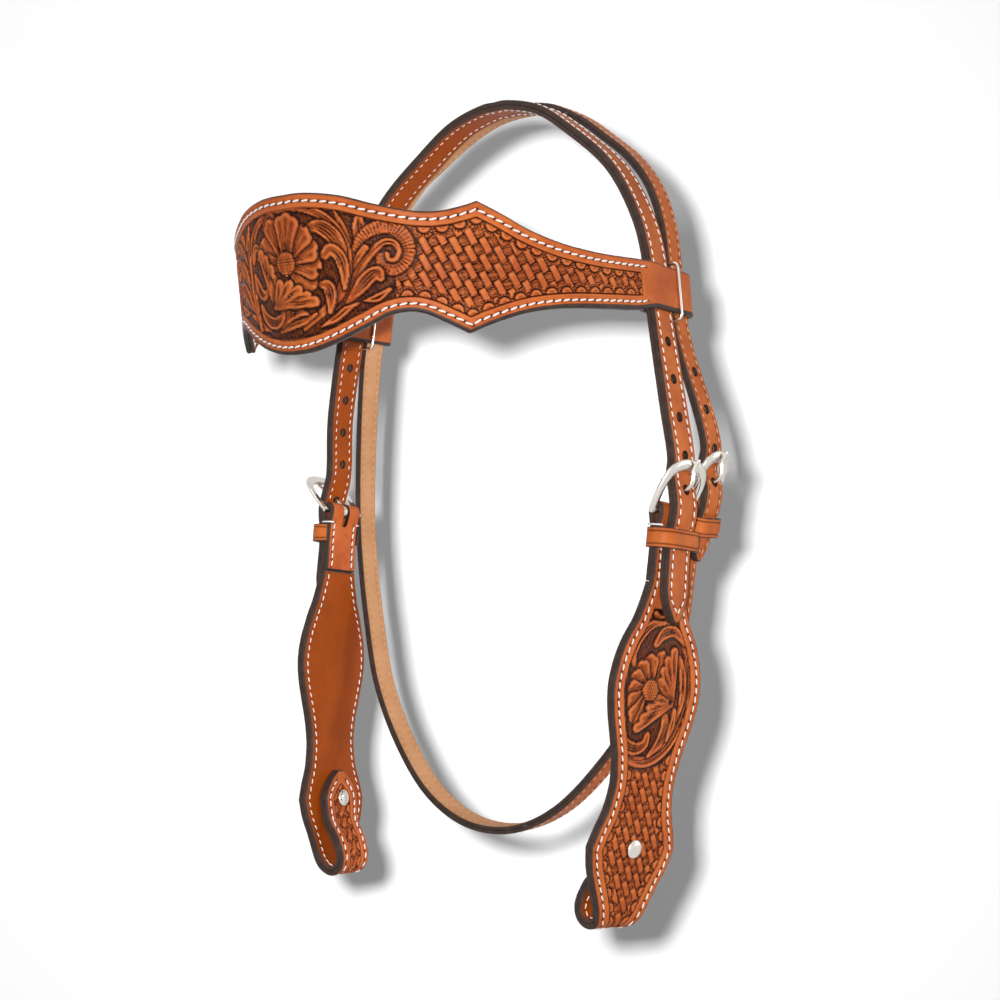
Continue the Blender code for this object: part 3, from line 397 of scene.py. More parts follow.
def foldRows(before, after, sweep):
    # The inner side of leather that comes up outside a bar, goes over it and down again.
    gap, radius = layout["gap"], layout["foldRadius"]
    rows = [(gap / 2 - sweep(drop), -drop) for drop in before]
    rows.append((0.62 * radius, -2.3 * radius))
    for degrees in (-10, 40, 90, 140, 190):
        angle = math.radians(degrees)
        rows.append((radius * math.cos(angle), radius * math.sin(angle)))
    rows.append((-0.62 * radius, -2.3 * radius))
    rows += [(-gap / 2 - sweep(drop), -drop) for drop in after]
    return [(x, 0.0, z) for x, z in rows]


def crownRows():
    # Half of it, from the billet's point to the middle of the poll
    spread, forward, inner = layout["sideSpread"], layout["archForward"], innerOf(crown)
    halfWay = layout["archDrop"] + layout["halfWayShare"] * (layout["barDrop"] - layout["archDrop"])
    rows = billetRows("cheek", crown, noSweep)
    rows.append((1.092 * spread, -1.06 * forward, inner - halfWay))
    for across, ahead, down in archShares:
        rows.append((across * spread, -ahead * forward, inner - down * layout["archDrop"]))
    return rows + [(0.0, 0.0, inner)]


crownRoute = Route(crownRows() + mirroredRows(crownRows()))
archMark, pollMark = 10, 17

# The frame of the browband's tab, at the side of the arch: outward, rearward and up
tabLevel = crownRoute.marks[archMark] + browband["tabRise"]
tabRows = Lay(crownRoute, sideWidth).frames(np.array([tabLevel]))
tabCentre, tabWide, tabAlong, tabOutward = [rows[0] for rows in tabRows]
tabTurn = np.stack([tabOutward, tabWide, tabAlong], axis=1)


def besideCrown(lift):
    # It stands out from the crown strap by one lift at the side of the arch and another at the poll.
    start, middle = tabLevel - browband["tab"], crownRoute.marks[pollMark]
    distance = np.linspace(start, middle, round((middle - start) / throat["rowStep"]) + 1)
    point, wide, along, outward = Lay(crownRoute, sideWidth).frames(distance)
    share = np.clip((distance - tabLevel - browband["tab"]) / throat["liftReach"], 0, 1)
    aside = np.clip(1.5 * point[:, 0] / layout["sideSpread"], 0, 1) ** 1.5
    raised = (lift * aside + throat["liftPoll"] * (1 - aside)) * share
    return list(point + wide * layout["throatOffset"] + outward * raised[:, None])


def loopPlace(side, across, forward, down, pushed):
    back = throat["loopSetback"] + pushed * (bars["throat"]["rearward"] - throat["loopSetback"])
    top = innerOf(crown) - bars["throat"]["drop"]
    return (side * across * throat["loopHalfWidth"], back - forward * throat["loopForward"],
            top - down * throat["loopDepth"])


def throatRows():
    # From its billet over the poll, down the off side and under the throat to its buckle
    rows = billetRows("throat", throat, throatSweep) + besideCrown(throat["liftNear"])
    rows += [point * (-1, 1, 1) for point in reversed(besideCrown(throat["liftOff"])[:-1])]
    rows += [loopPlace(-1, *shares[:4]) for shares in loopShares]
    rows += [loopPlace(1, *shares[:3], shares[4]) for shares in reversed(loopShares[2:-1])]
    drops = (throat["turnBack"], 0.62 * throat["turnBack"], 4.6 * layout["foldRadius"])
    return rows + list(atBar("throat", foldRows(drops, drops[::-1], throatSweep)))


def besideScrew(down, inward):
    # A place by the bit loop's screw, measured down and inward from the leather there.
    slope = math.atan(2 * cheek["bow"] / (cheek["drop"] - layout["bowStart"]))
    x = layout["gap"] / 2 - cheek["bow"] - down * math.sin(slope) - inward * math.cos(slope)
    return x, 0.0, -cheek["drop"] - down * math.cos(slope) + inward * math.sin(slope)


def cheekRows():
    # From its lapped end down round the bit loop, up outside, and over the buckle's bar
    turn, tab, rise = cheek["loopGap"] / 2 + innerOf(cheek), 2 * innerOf(cheek) + layout["gap"], cheek["tabRise"]
    middle = cheek["loop"] - cheek["face"] - turn
    rows = [(-rise, tab), (-0.4 * rise, tab), (0.12 * middle, 1.03 * tab),
            (0.40 * middle, 0.45 * tab + 0.55 * turn), (0.70 * middle, 1.62 * turn), (middle, 1.98 * turn),
            (middle + 0.7 * turn, 1.7 * turn), (middle + turn, turn), (middle + 0.7 * turn, 0.3 * turn),
            (middle, 0.0), (middle / 2, 0.0), (0.0, 0.0)]
    rows = [besideScrew(down, inward) for down, inward in rows]
    start, back, near = layout["bowStart"], layout["turnBack"], 4.6 * layout["foldRadius"]
    for share in (0.66, 0.33):
        drop = start + share * (cheek["drop"] - start)
        rows.append((layout["gap"] / 2 - cheekSweep(drop), 0.0, -drop))
    return rows + foldRows((start, back, near), (near, back), noSweep)


def browbandRows():
    # Half of it, from its lapped end round both straps and then round the forehead
    play, lap, front, toe = layout["strapPlay"], browband["lap"], crown["half"], tabTurn[0, 1]
    outside, inside = crown["face"] + play, innerOf(crown) + play
    seam = outside - 2 * layout["gap"] - browband["lining"]
    turn = (outside + inside) / 2
    rear = front + layout["strapSpacing"] + 2 * throat["half"] + play - math.sqrt(turn ** 2 - throat["face"] ** 2)
    rows = [(seam + toe * lap - 2 * layout["layGap"], -front - lap), (seam + toe * lap / 2, -front - 0.62 * lap),
            (-0.35 * inside, -front - 0.27 * lap), (-inside, 0.5 * play - front), (-inside, 0.0), (-inside, rear),
            (outside - 1.7 * turn, rear + 0.7 * turn), (outside - turn, rear + turn),
            (outside - 0.3 * turn, rear + 0.7 * turn), (outside, rear), (outside, 0.0),
            (outside, -front - 0.27 * lap)]
    rows = [tabTurn @ (x, y, 0.0) + tabCentre for x, y in rows]
    x, y, z = rows[-1]
    for degrees in (20, 34, 48, 62, 76, 90):
        across = math.cos(math.radians(degrees)) ** browband["bend"]
        forward = math.sin(math.radians(degrees)) ** browband["bend"]
        rows.append((x * across, y - browband["depth"] * forward, z - browband["dip"] * forward))
    return rows


def bladeRows(look, degrees):
    # A tongue's blade goes up behind the billet, out through its hole and over the plate's top.
    tilt, rest = math.radians(degrees), buckle["tongueThick"] / 2 + layout["gap"]
    low, high = (buckle["height"] - buckle["topBand"]) * math.cos(tilt), buckle["height"] * math.cos(tilt)
    over = (buckle["plate"] + 1.1 * rest) / math.cos(tilt)
    eye = layout["foldRadius"] + buckle["tongueThick"] / 2
    seat, inner = barSeat(look), innerOf(look)
    lean = 0.35 * (tilt - math.radians(buckle["tilt"])) * rest
    return [(0.30 * eye, 0.95 * eye), (seat - 1.25 * inner - 1.9 * rest, 0.35 * low),
            (seat - 0.25 * inner, 0.50 * low), (seat + look["face"] + 0.75 * rest, 0.675 * low + lean),
            (plateBack(low, tilt) + over, low), (plateBack(high, tilt) + over, high)]


blades = {
    "near": bladeRows(crown, crown["tilt"]),
    "off": bladeRows(crown, crown["offTilt"]),
    "throat": bladeRows(throat, throat["tilt"]),
}


def tongueHole(barName, rows):
    # The hole that a tongue is in leans along the blade.
    blade = Route(rows)
    middle = (blade.marks[1] + blade.marks[3]) / 2
    (x, z), (dx, dz) = blade.at(middle), blade.direction(middle)
    turn, centre = barFrame(barName)
    return turn @ (x, 0.0, z) + centre, turn @ (dx, 0.0, dz)


# Meshes of leather and thread

def meshFrom(name, verts, faces, material, attributes=None):
    mesh = bpy.data.meshes.new(name)
    mesh.from_pydata((np.asarray(verts) / 1000).tolist(), [], faces)
    mesh.materials.append(material)
    for key, values in (attributes or {}).items():
        values = np.asarray(values, dtype=np.float32)
        mesh.attributes.new(key, "FLOAT", "POINT").data.foreach_set("value", values)
    mesh.update()
    made = bpy.data.objects.new(name, mesh)
    bpy.context.scene.collection.objects.link(made)
    return made


def smoothByAngle(piece, degrees=35):
    bpy.ops.object.select_all(action="DESELECT")
    bpy.context.view_layer.objects.active = piece
    piece.select_set(True)
    bpy.ops.object.shade_smooth_by_angle(angle=math.radians(degrees))
    piece.select_set(False)


def register(piece, body, slotName, *nodes):
    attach(piece, body)
    piece["slotName"] = slotName
    if nodes:
        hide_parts(*nodes)
    return piece


stitchLook = {
    "pitch": 4.15, "length": 3.55, "width": 0.92, "height": 0.66, "slant": 9.0,
    "needleRadius": 0.66, "grooveReach": 1.35, "grooveDepth": 0.34, "grooveDyeAndShade": 0.38,
}


def alongPath(path, pitch):
    # Places evenly along a path on the leather, with the path's direction there.
    path = np.asarray(path, dtype=float)
    steps = np.linalg.norm(np.diff(path, axis=0), axis=1)
    reach = np.concatenate([[0.0], np.cumsum(steps)])
    count = max(2, int(round(reach[-1] / pitch)))
    wanted = (np.arange(count) + 0.5) * reach[-1] / count
    places = np.stack([np.interp(wanted, reach, axis) for axis in path.T], axis=-1)
    ahead = np.stack([np.interp(np.minimum(wanted + 0.4, reach[-1]), reach, axis) for axis in path.T], axis=-1)
    behind = np.stack([np.interp(np.maximum(wanted - 0.4, 0), reach, axis) for axis in path.T], axis=-1)
    return places, unit(ahead - behind)


def needlePlaces(paths, pitch):
    found = []
    for path in paths:
        places, heading = alongPath(path, pitch)
        found += [places - heading * pitch / 2, places[-1:] + heading[-1:] * pitch / 2]
    return np.vstack(found)


def stitches(name, lay, paths, depth, sign, body, look=stitchLook, size=1.0, material=thread):
    # Stitches drawn down at both ends into their needle holes, each of them a small slanted loop.
    around = np.linspace(0, 2 * math.pi, 7)[:-1]
    shape = [(-0.50, 0.25, -0.55), (-0.40, 0.80, -0.12), (-0.18, 1.0, 0.0), (0.18, 1.0, 0.0), (0.40, 0.80, -0.12),
             (0.50, 0.25, -0.55)]
    rings, faces, verts = len(shape), [], []
    for path in paths:
        places, heading = alongPath(path, look["pitch"])
        point, wide, along, outward = lay.frames(places[:, 0])
        lean = math.radians(look["slant"])
        for k in range(len(places)):
            ahead = along[k] * heading[k, 0] + wide[k] * heading[k, 1]
            aside = np.cross(outward[k], ahead)
            ahead, aside = (ahead * math.cos(lean) + aside * math.sin(lean),
                            aside * math.cos(lean) - ahead * math.sin(lean))
            centre = point[k] + wide[k] * places[k, 1] + outward[k] * depth
            start = len(verts)
            for share, thick, rise in shape:
                middle = centre + ahead * share * look["length"] * size
                for angle in around:
                    across = math.cos(angle) * look["width"] / 2 * thick * size
                    height = (math.sin(angle) * 0.5 * thick + 0.20 + rise) * look["height"] * size * sign
                    verts.append(middle + aside * across + outward[k] * height)
            turns = len(around)
            for r in range(rings - 1):
                for a in range(turns):
                    b = (a + 1) % turns
                    quad = (start + r * turns + a, start + r * turns + b,
                            start + (r + 1) * turns + b, start + (r + 1) * turns + a)
                    faces.append(quad if sign > 0 else quad[::-1])
            first = tuple(start + a for a in range(turns))
            last = tuple(start + (rings - 1) * turns + a for a in range(turns))
            faces.append(first[::-1] if sign > 0 else first)
            faces.append(last if sign > 0 else last[::-1])
    piece = meshFrom(name, verts, faces, material)
    piece.data.shade_smooth()
    return register(piece, body, "face_leather")


def softened(field, reach):
    # A running mean over neighbouring places, both ways.
    for axis in (0, 1):
        padded = np.concatenate([np.repeat(np.take(field, [0], axis), reach, axis), field,
                                 np.repeat(np.take(field, [-1], axis), reach, axis)], axis)
        total = np.cumsum(padded, axis)
        total = np.concatenate([np.zeros_like(np.take(total, [0], axis)), total], axis)
        span = 2 * reach + 1
        upper = np.take(total, np.arange(span, total.shape[axis]), axis)
        lower = np.take(total, np.arange(0, total.shape[axis] - span), axis)
        field = (upper - lower) / span
    return field


def leatherPly(name, lay, stations, halves, depths, across, rounding, material, relief, freeEnds, antiqueAndShading=0.0,
               dyedAndShaded=(0.0, 0.0)):
    # One ply: a fine skin with eased, dressed edges over a plain hidden side.
    lip = rounding * np.array([0.0, 0.10, 0.40, 1.0])
    start, finish = stations[0], stations[-1]
    ends = [start + lip[:-1]] if freeEnds[0] else []
    ends += [finish - lip[:-1]] if freeEnds[1] else []
    stations = np.unique(np.round(np.concatenate([np.asarray(stations)] + ends), 4))
    point, wide, along, outward = lay.frames(stations)
    high, low = halves(stations)
    middle = np.linspace(0, 1, across + 1)[1:-1]
    inner = low + high - 2 * rounding
    columns = [-low[:, None] + lip[None, :], -low[:, None] + rounding + middle[None, :] * inner[:, None],
               high[:, None] - lip[None, ::-1]]
    t = np.concatenate(columns, axis=1)
    s = np.repeat(stations[:, None], t.shape[1], axis=1)
    inset = np.minimum(t + low[:, None], high[:, None] - t)
    if freeEnds[0]:
        inset = np.minimum(inset, s - start)
    if freeEnds[1]:
        inset = np.minimum(inset, finish - s)
    drop, recess = relief(s, t, inset)
    if antiqueAndShading:
        # Cavity shading: hollows darker and crests lighter, as antique dye lies, with painted shade in the hollows and
        # a painted highlight on the crests.
        hollow = np.clip(drop, 0, 1.1) - softened(np.clip(drop, 0, 1.1), 3)
        recess = recess + antiqueAndShading * hollow * ease(inset, 2.0, 4.0)
    short = np.clip(rounding - inset, 0, rounding)
    drop = np.maximum(drop * ease(inset, 0.3, 1.0), 0) + rounding - np.sqrt(rounding ** 2 - short ** 2)
    sign = 1 if depths[1] > depths[0] else -1
    depth = depths[1] - sign * drop
    skin = point[:, None] + wide[:, None] * t[..., None] + outward[:, None] * depth[..., None]
    hidden = [point + wide * side[:, None] + outward * depths[0] for side in (-low, high)]
    rows, cols = t.shape
    verts = np.vstack([skin.reshape(-1, 3), *hidden])
    base = rows * cols
    index = np.arange(base).reshape(rows, cols)
    quads = np.stack([index[:-1, :-1], index[:-1, 1:], index[1:, 1:], index[1:, :-1]], axis=-1).reshape(-1, 4)
    a, b = base + np.arange(rows), base + rows + np.arange(rows)
    walls = [np.stack([a[:-1], index[:-1, 0], index[1:, 0], a[1:]], axis=-1),
             np.stack([index[:-1, -1], b[:-1], b[1:], index[1:, -1]], axis=-1),
             np.stack([b[:-1], a[:-1], a[1:], b[1:]], axis=-1)]
    faces = [tuple(face) for face in np.vstack([quads, *walls]).tolist()]
    faces.append(tuple([int(b[0])] + [int(v) for v in index[0, ::-1]] + [int(a[0])]))
    faces.append(tuple([int(a[-1])] + [int(v) for v in index[-1]] + [int(b[-1])]))
    if sign < 0:
        faces = [face[::-1] for face in faces]
    # The dark dressing reaches onto the skin, by its own amount at the two edges; a wider reach at one edge is painted
    # shade along it.
    upper = high[:, None] - t < t + low[:, None]
    darkReach = np.where(upper, dyedAndShaded[0], dyedAndShaded[1])
    edge = 1 - ease(inset, 0.75 * rounding + darkReach, 1.1 * rounding + darkReach)
    edge = np.concatenate([edge.reshape(-1), np.ones(2 * rows)])
    recess = np.concatenate([np.clip(recess, -1, 1).reshape(-1), np.zeros(2 * rows)])
    piece = meshFrom(name, verts, faces, material, {"recess": recess, "edge": edge})
    smoothByAngle(piece, 50)
    return piece


def seamRelief(holes, look=stitchLook, strength=1.0):
    # The pressed groove under a row of stitches, darkened by dye and painted shade, and its needle holes, darkened
    # with painted shade.
    def relief(s, t, inset):
        pit, groove = np.full(s.shape, 99.0), np.full(s.shape, 99.0)
        first = s[:, 0]
        for hole in holes:
            low, high = np.searchsorted(first, (hole[0] - 3, hole[0] + 3))
            ds, dt = s[low:high] - hole[0], t[low:high] - hole[1]
            pit[low:high] = np.minimum(pit[low:high], np.hypot(ds, dt))
            groove[low:high] = np.minimum(groove[low:high], np.hypot(ds * 0.3, dt))
        pit = np.exp(-(pit / look["needleRadius"]) ** 2)
        groove = np.exp(-(groove / look["grooveReach"] * 2) ** 2)
        drop = look["grooveDepth"] * groove + 0.35 * pit
        return drop * strength, np.maximum(0.95 * pit, look["grooveDyeAndShade"] * groove) * strength
    return relief


def edgeRow(halves, inset, start, finish, side, step=1.0):
    # A row of stitches that keeps its distance from one edge.
    s = np.arange(start, finish, step)
    high, low = halves(s)
    t = np.where(side > 0, high - inset, -(low - inset))
    return np.stack([s, t], axis=-1)


def pointedRow(halves, inset, vertex, shoulder, finish, side):
    # A row that starts where both rows meet, behind a billet's point.
    row = edgeRow(halves, inset, shoulder, finish, side)
    return np.vstack([[vertex, 0.0], row])


def offsetRow(halves, inset, start, finish, side, step=0.5):
    # The same where an edge is shaped: a true offset of its curve, cleaned where it crosses itself.
    s = np.arange(start, finish + step, step)
    high, low = halves(s)
    edge = np.stack([s, high if side > 0 else -low], axis=-1)
    heading = unit(np.gradient(edge, axis=0))
    normal = np.stack([heading[:, 1], -heading[:, 0]], axis=-1) * (1 if side > 0 else -1)
    moved = edge + normal * inset
    gap = np.min(np.hypot(moved[:, None, 0] - edge[None, :, 0], moved[:, None, 1] - edge[None, :, 1]), axis=1)
    kept = moved[gap > inset * 0.985]
    return kept[np.argsort(kept[:, 0], kind="stable")]


def edgeDistance(halves, start, finish, s, t, step=0.6):
    # How far each place is from the nearest shaped edge.
    line = np.arange(start, finish + step, step)
    high, low = halves(line)
    best = np.full(s.shape, 99.0)
    for edge in (high, -low):
        for offset in np.arange(-14, 15):
            k = np.clip(np.round((s - start) / step).astype(int) + offset * 2, 0, len(line) - 1)
            best = np.minimum(best, np.hypot(s - line[k], t - edge[k]))
    return best


# The carver's work: a field is cut and stamped on arrays of places, in mm across and up

class Tooling:
    def __init__(self, x, y, ground=0.62):
        self.x, self.y = x, y
        self.drop = np.full(x.shape, ground)
        self.recess = np.full(x.shape, 0.88)
        speckle = np.sin(x * 9.1 + 2 * np.sin(y * 7.3)) * np.sin(y * 8.7 + 2 * np.sin(x * 6.1))
        self.drop += 0.09 * speckle
        self.recess += 0.20 * speckle

    def stroke(self, points, widths):
        path = Route(points, 12)
        count = max(3, int(path.length / 0.45))
        share = np.linspace(0, 1, count)
        line = path.at(share * path.length)
        reach = np.interp(share, np.linspace(0, 1, len(widths)), widths)
        lo, hi = line.min(0) - max(widths) - 3, line.max(0) + max(widths) + 3
        pick = np.nonzero((self.x > lo[0]) & (self.x < hi[0]) & (self.y > lo[1]) & (self.y < hi[1]))[0]
        x, y = self.x[pick], self.y[pick]
        distance, place = np.full(x.shape, 99.0), np.zeros(x.shape)
        for (px, py), width, at in zip(line, reach, share):
            d = np.hypot(x - px, y - py) - width
            nearer = d < distance
            distance[nearer] = d[nearer]
            place[nearer] = at
        return pick, distance, place

    def lift(self, pick, distance, dish=0.0, dishFrom=0.55, dishTo=1.9, top=0.03):
        # What stands up: bevelled all round, with a rolled rim and a hollow inside it. Painted shadow darkens the
        # ground round it, and painted shade with dye darkens its bevel and hollow.
        outside = distance >= 0
        wall = np.maximum(distance, 0)
        drop = np.where(outside, np.maximum(self.drop[pick], 0.60 + 0.42 * np.exp(-wall / 0.7)),
                        top + 0.50 * np.exp(np.minimum(distance, 0) / 0.20)
                        + dish * ease(-distance, dishFrom, dishTo))
        shadow = np.exp(-(wall / 1.05) ** 1.5)
        inside = np.maximum(0.10 + 0.85 * dish * ease(-distance, dishFrom, dishTo),
                            0.95 * np.exp(np.minimum(distance, 0) / 0.22))
        recess = np.where(outside, np.maximum(self.recess[pick], shadow), inside)
        near = distance < 2.4
        self.drop[pick[near]] = drop[near]
        self.recess[pick[near]] = recess[near]

    def gouge(self, points, widths, depth=0.5):
        pick, distance, place = self.stroke(points, widths)
        cut = np.clip(0.5 - distance / 0.5, 0, 1)
        self.drop[pick] = np.minimum(self.drop[pick] + depth * cut, 1.15)
        self.recess[pick] = np.maximum(self.recess[pick], cut)

    def leaf(self, points, widths, cuts=(), dish=0.30):
        pick, distance, place = self.stroke(points, widths)
        self.lift(pick, distance, dish, 0.5, 1.7)
        path = Route(points, 12)
        for across, first, last in cuts:
            share = np.linspace(first, last, 6)
            line, heading = path.at(share * path.length), path.direction(share * path.length)
            reach = np.interp(share, np.linspace(0, 1, len(widths)), widths)
            aside = np.stack([-heading[:, 1], heading[:, 0]], axis=-1)
            self.gouge(line + aside * (across * reach)[:, None], (0.04, 0.42, 0.46, 0.08))

    def union(self, base, tips, width, root):
        base, best = np.array(base, dtype=float), np.full(self.x.shape, 99.0)
        for tip in tips:
            tip = np.array(tip, dtype=float)
            pick, distance, place = self.stroke([base, (base + tip) / 2, tip], (root, 0.8 * width, width))
            best[pick] = np.minimum(best[pick], distance)
        return best

    def petal(self, centre, angle, reach, spread, width, start=4.0):
        # One petal with a wavy rim, hollow inside, and fine cuts that run out of the flower's middle.
        centre = np.array(centre, dtype=float)

        def ray(degrees, length):
            return centre + length * np.array([math.cos(math.radians(degrees)), math.sin(math.radians(degrees))])
        tips = [ray(angle + k * spread, (reach - width) * (1.0 if k == 0 else 0.93)) for k in (-1, 0, 1)]
        best = self.union(ray(angle, start), tips, width, width * 0.9)
        pick = np.nonzero(best < 3)[0]
        self.lift(pick, best[pick], 0.42, 0.5, 1.1 * width)
        self.shade(pick, np.hypot(self.x[pick] - centre[0], self.y[pick] - centre[1]), best[pick], start, reach)
        for k in range(5):
            lean = (k - 2) * spread * 0.70
            out = start + (reach - start) * (0.62, 0.48, 0.74, 0.50, 0.60)[k]
            first = ray(angle + lean * 1.15, start + 0.7)
            last = ray(angle + lean, out)
            self.gouge([first, (first + last) / 2, last], (0.42, 0.32, 0.03), 0.5)

    def shade(self, pick, away, distance, near, far):
        # Painted shade, with dye, in the deep end of a petal, fading towards its rim
        deep = (1 - ease(away, near, near + 0.75 * (far - near))) * (distance < -0.2)
        self.recess[pick] = np.maximum(self.recess[pick], 0.62 * deep)
        self.drop[pick] = self.drop[pick] + 0.22 * deep

    def ruffle(self, base, lobes, width):
        # A petal folded towards the viewer, its rim in waves, with two cuts running to each wave.
        best = self.union(base, lobes, width, width * 0.55)
        pick = np.nonzero(best < 3)[0]
        self.lift(pick, best[pick], 0.26, 0.7, 2.4)
        base = np.array(base, dtype=float)
        far = max(math.dist(base, lobe) for lobe in lobes)
        self.shade(pick, np.hypot(self.x[pick] - base[0], self.y[pick] - base[1]), best[pick], 0.0, 0.8 * far)
        for lobe in lobes:
            lobe = np.array(lobe, dtype=float)
            side = unit(np.array([-(lobe - base)[1], (lobe - base)[0]])) * width * 0.33
            for sign, first, last in ((-1, 0.38, 0.86), (1, 0.52, 0.98)):
                shares = (first, (first + last) / 2, last)
                points = [base + (lobe - base) * share + side * sign * share for share in shares]
                self.gouge(points, (0.05, 0.46, 0.10), 0.5)

    def disc(self, centre, radius, bead=1.45):
        x, y = self.x - centre[0], self.y - centre[1]
        away = np.hypot(x, y)
        pick = np.nonzero(away < radius + 2.5)[0]
        self.lift(pick, away[pick] - radius, 0.0)
        inside = np.nonzero(away < radius)[0]
        row = np.round(y[inside] / (bead * 0.87))
        col = np.round((x[inside] - row * bead / 2) / bead)
        dx, dy = x[inside] - row * bead / 2 - col * bead, y[inside] - row * bead * 0.87
        dome = np.clip(1.25 - (np.hypot(dx, dy) / (bead * 0.5)) ** 2 * 1.25, 0, 1)
        self.drop[inside] = 0.70 - 0.50 * dome - 0.15 * (1 - (away[inside] / radius) ** 2)
        self.recess[inside] = 1.0 - 0.95 * dome

    def ribs(self, points, widths, pitch):
        pick, distance, place = self.stroke(points, widths)
        length = Route(points, 12).length
        self.lift(pick, distance, 0.1)
        wave = 0.5 + 0.5 * np.cos(2 * math.pi * place * length / pitch)
        inside = distance < -0.25
        self.drop[pick[inside]] += 0.38 * wave[inside] ** 1.5
        self.recess[pick[inside]] = np.maximum(self.recess[pick[inside]], 0.95 * wave[inside] ** 2.5)

    def dots(self, places, radius=0.7):
        for place in places:
            away = np.hypot(self.x - place[0], self.y - place[1]) - radius
            near = np.nonzero(away < 1.2)[0]
            self.drop[near] = np.maximum(self.drop[near], np.where(away[near] < 0, 0.85, 0.0))
            self.recess[near] = np.maximum(self.recess[near], np.exp(-(np.maximum(away[near], 0) / 0.45) ** 2))


basketLook = {
    "column": 6.3, "row": 7.1, "stagger": -3.5, "lean": 62.0, "barLength": 7.7, "barWidth": 3.0,
    "ropeAside": 3.05, "ropeUp": 1.9, "ropeTurn": 18.0, "ropeLength": 1.75, "ropeWidth": 1.2, "twist": 0.92,
}


def basketWeave(tooling, zone, x, y, look=basketLook):
    # Basket stamping: smooth slanting bars that cross over twisted strands.
    drop, recess = np.full(x.shape, 0.70), np.full(x.shape, 0.95)
    lean, turn = math.radians(look["lean"]), math.radians(look["ropeTurn"])
    halfLength, halfWidth = look["barLength"] / 2, look["barWidth"] / 2
    column = np.round(x / look["column"])
    near = [(beside, above) for beside in (-1, 0, 1) for above in (-1, 0, 1)]
    for beside, above in near:
        i = column + beside
        row = np.round((y - i * look["stagger"]) / look["row"])
        dx, dy = x - i * look["column"], y - i * look["stagger"] - (row + above) * look["row"]
        rx, ry = dx - look["ropeAside"], dy - look["ropeUp"]
        ru, rw = rx * math.cos(turn) + ry * math.sin(turn), ry * math.cos(turn) - rx * math.sin(turn)
        across = np.abs(rw) / look["ropeWidth"]
        rope = (across < 1) & (np.abs(ru) < look["ropeLength"])
        twist = np.abs(np.mod((ru + 0.75 * rw) / look["twist"], 1.0) - 0.5) * 2
        cut = ease(twist, 0.45, 1.0)
        drop = np.where(rope, 0.16 + 0.24 * across ** 3 + 0.30 * cut, drop)
        recess = np.where(rope, 0.30 + 0.40 * across ** 3 + 0.70 * cut, recess)
        for level in (look["ropeWidth"] + 0.42, -look["ropeWidth"] - 0.42):
            ridge = np.exp(-((rw - level) / 0.26) ** 2) * (np.abs(ru) < look["ropeLength"] + 0.5)
            drop = drop - (drop - 0.22) * ridge
            recess = recess * (1 - 0.85 * ridge)
    for beside, above in near:
        i = column + beside
        row = np.round((y - i * look["stagger"]) / look["row"])
        dx, dy = x - i * look["column"], y - i * look["stagger"] - (row + above) * look["row"]
        u, w = dx * math.cos(lean) - dy * math.sin(lean), dx * math.sin(lean) + dy * math.cos(lean)
        away = np.maximum(np.abs(u) - halfLength, np.abs(w) - halfWidth)
        along, aside = u / halfLength, w / halfWidth
        bar = away < 0
        shade = np.exp(-(np.maximum(away, 0) / 0.55) ** 2)
        dark = (away >= 0) & (away < 1.1)
        drop = np.where(dark, np.maximum(drop, 0.98 * shade), drop)
        recess = np.where(dark, np.maximum(recess, shade), recess)
        fringe = ease(np.abs(np.mod(w / 0.74, 1.0) - 0.5) * 2, 0.4, 1.0) * ease(along, 0.45, 0.80)
        ends = ease(np.abs(along), 0.80, 1.0)
        sides = ease(np.abs(aside), 0.80, 1.0)
        drop = np.where(bar, 0.04 + 0.10 * aside ** 2 + 0.20 * sides + 0.22 * ends + 0.22 * fringe, drop)
        # Each bar is lighter towards one end: wear with a painted highlight.
        wornAndHighlight = 0.30 * ease(-along, 0.2, 0.8) * (1 - ends)
        recess = np.where(bar, 0.26 + 0.50 * sides + 0.40 * ends + 0.95 * fringe - wornAndHighlight, recess)
    tooling.drop[zone], tooling.recess[zone] = drop, recess


def halfRounds(tooling, path, pitch, radius, inward):
    # The border stamps: half discs that stand on the field's edge, with fan lines round them.
    places, heading = alongPath(path, pitch)
    for (px, py), (hx, hy) in zip(places, heading):
        nx, ny = (-hy, hx) if inward > 0 else (hy, -hx)
        dx, dy = tooling.x - px, tooling.y - py
        pick = np.nonzero(np.hypot(dx, dy) < radius + 2.4)[0]
        dx, dy = dx[pick], dy[pick]
        up, reach = dx * nx + dy * ny, np.hypot(dx, dy)
        away = np.maximum(reach - radius, 0.15 - up)
        fan = np.nonzero((away > 0.3) & (away < 1.5) & (up > 0.2))[0]
        spokes = ease(0.5 + 0.5 * np.cos(np.arctan2(dy[fan], dx[fan]) * 18), 0.3, 0.9)
        tooling.drop[pick[fan]] = 0.50 + 0.30 * spokes
        tooling.recess[pick[fan]] = 0.25 + 0.65 * spokes
        near = away < 0.75
        tooling.lift(pick[near], away[near], 0.0)
        inner = np.exp(-((reach - radius * 0.42) / 0.30) ** 2) * (away < -0.3)
        tooling.drop[pick] += 0.18 * inner
        tooling.recess[pick] = np.maximum(tooling.recess[pick], 0.7 * inner)
print("tools ready")


# The browband

crestShares = [(0.0, 1.0), (0.06, 0.997), (0.15, 0.93), (0.24, 0.80), (0.33, 0.712), (0.385, 0.714), (0.44, 0.78),
               (0.472, 0.838)]
crestRear = [(0.472, 0.838), (0.535, 0.69), (0.60, 0.53), (0.69, 0.39), (0.80, 0.315), (0.92, 0.30)]
bellyShares = [(0.0, 1.0), (0.055, 0.975), (0.13, 0.87), (0.21, 0.69), (0.27, 0.545), (0.315, 0.506), (0.35, 0.53),
               (0.40, 0.64), (0.458, 0.785)]
bellyRear = [(0.458, 0.785), (0.51, 0.665), (0.60, 0.51), (0.70, 0.43), (0.85, 0.395), (0.94, 0.375)]

bandRoute = Route(browbandRows() + mirroredRows(browbandRows()))
bandCentre, bandFront = bandRoute.marks[17], bandRoute.marks[11]
bandArc = bandCentre - bandFront


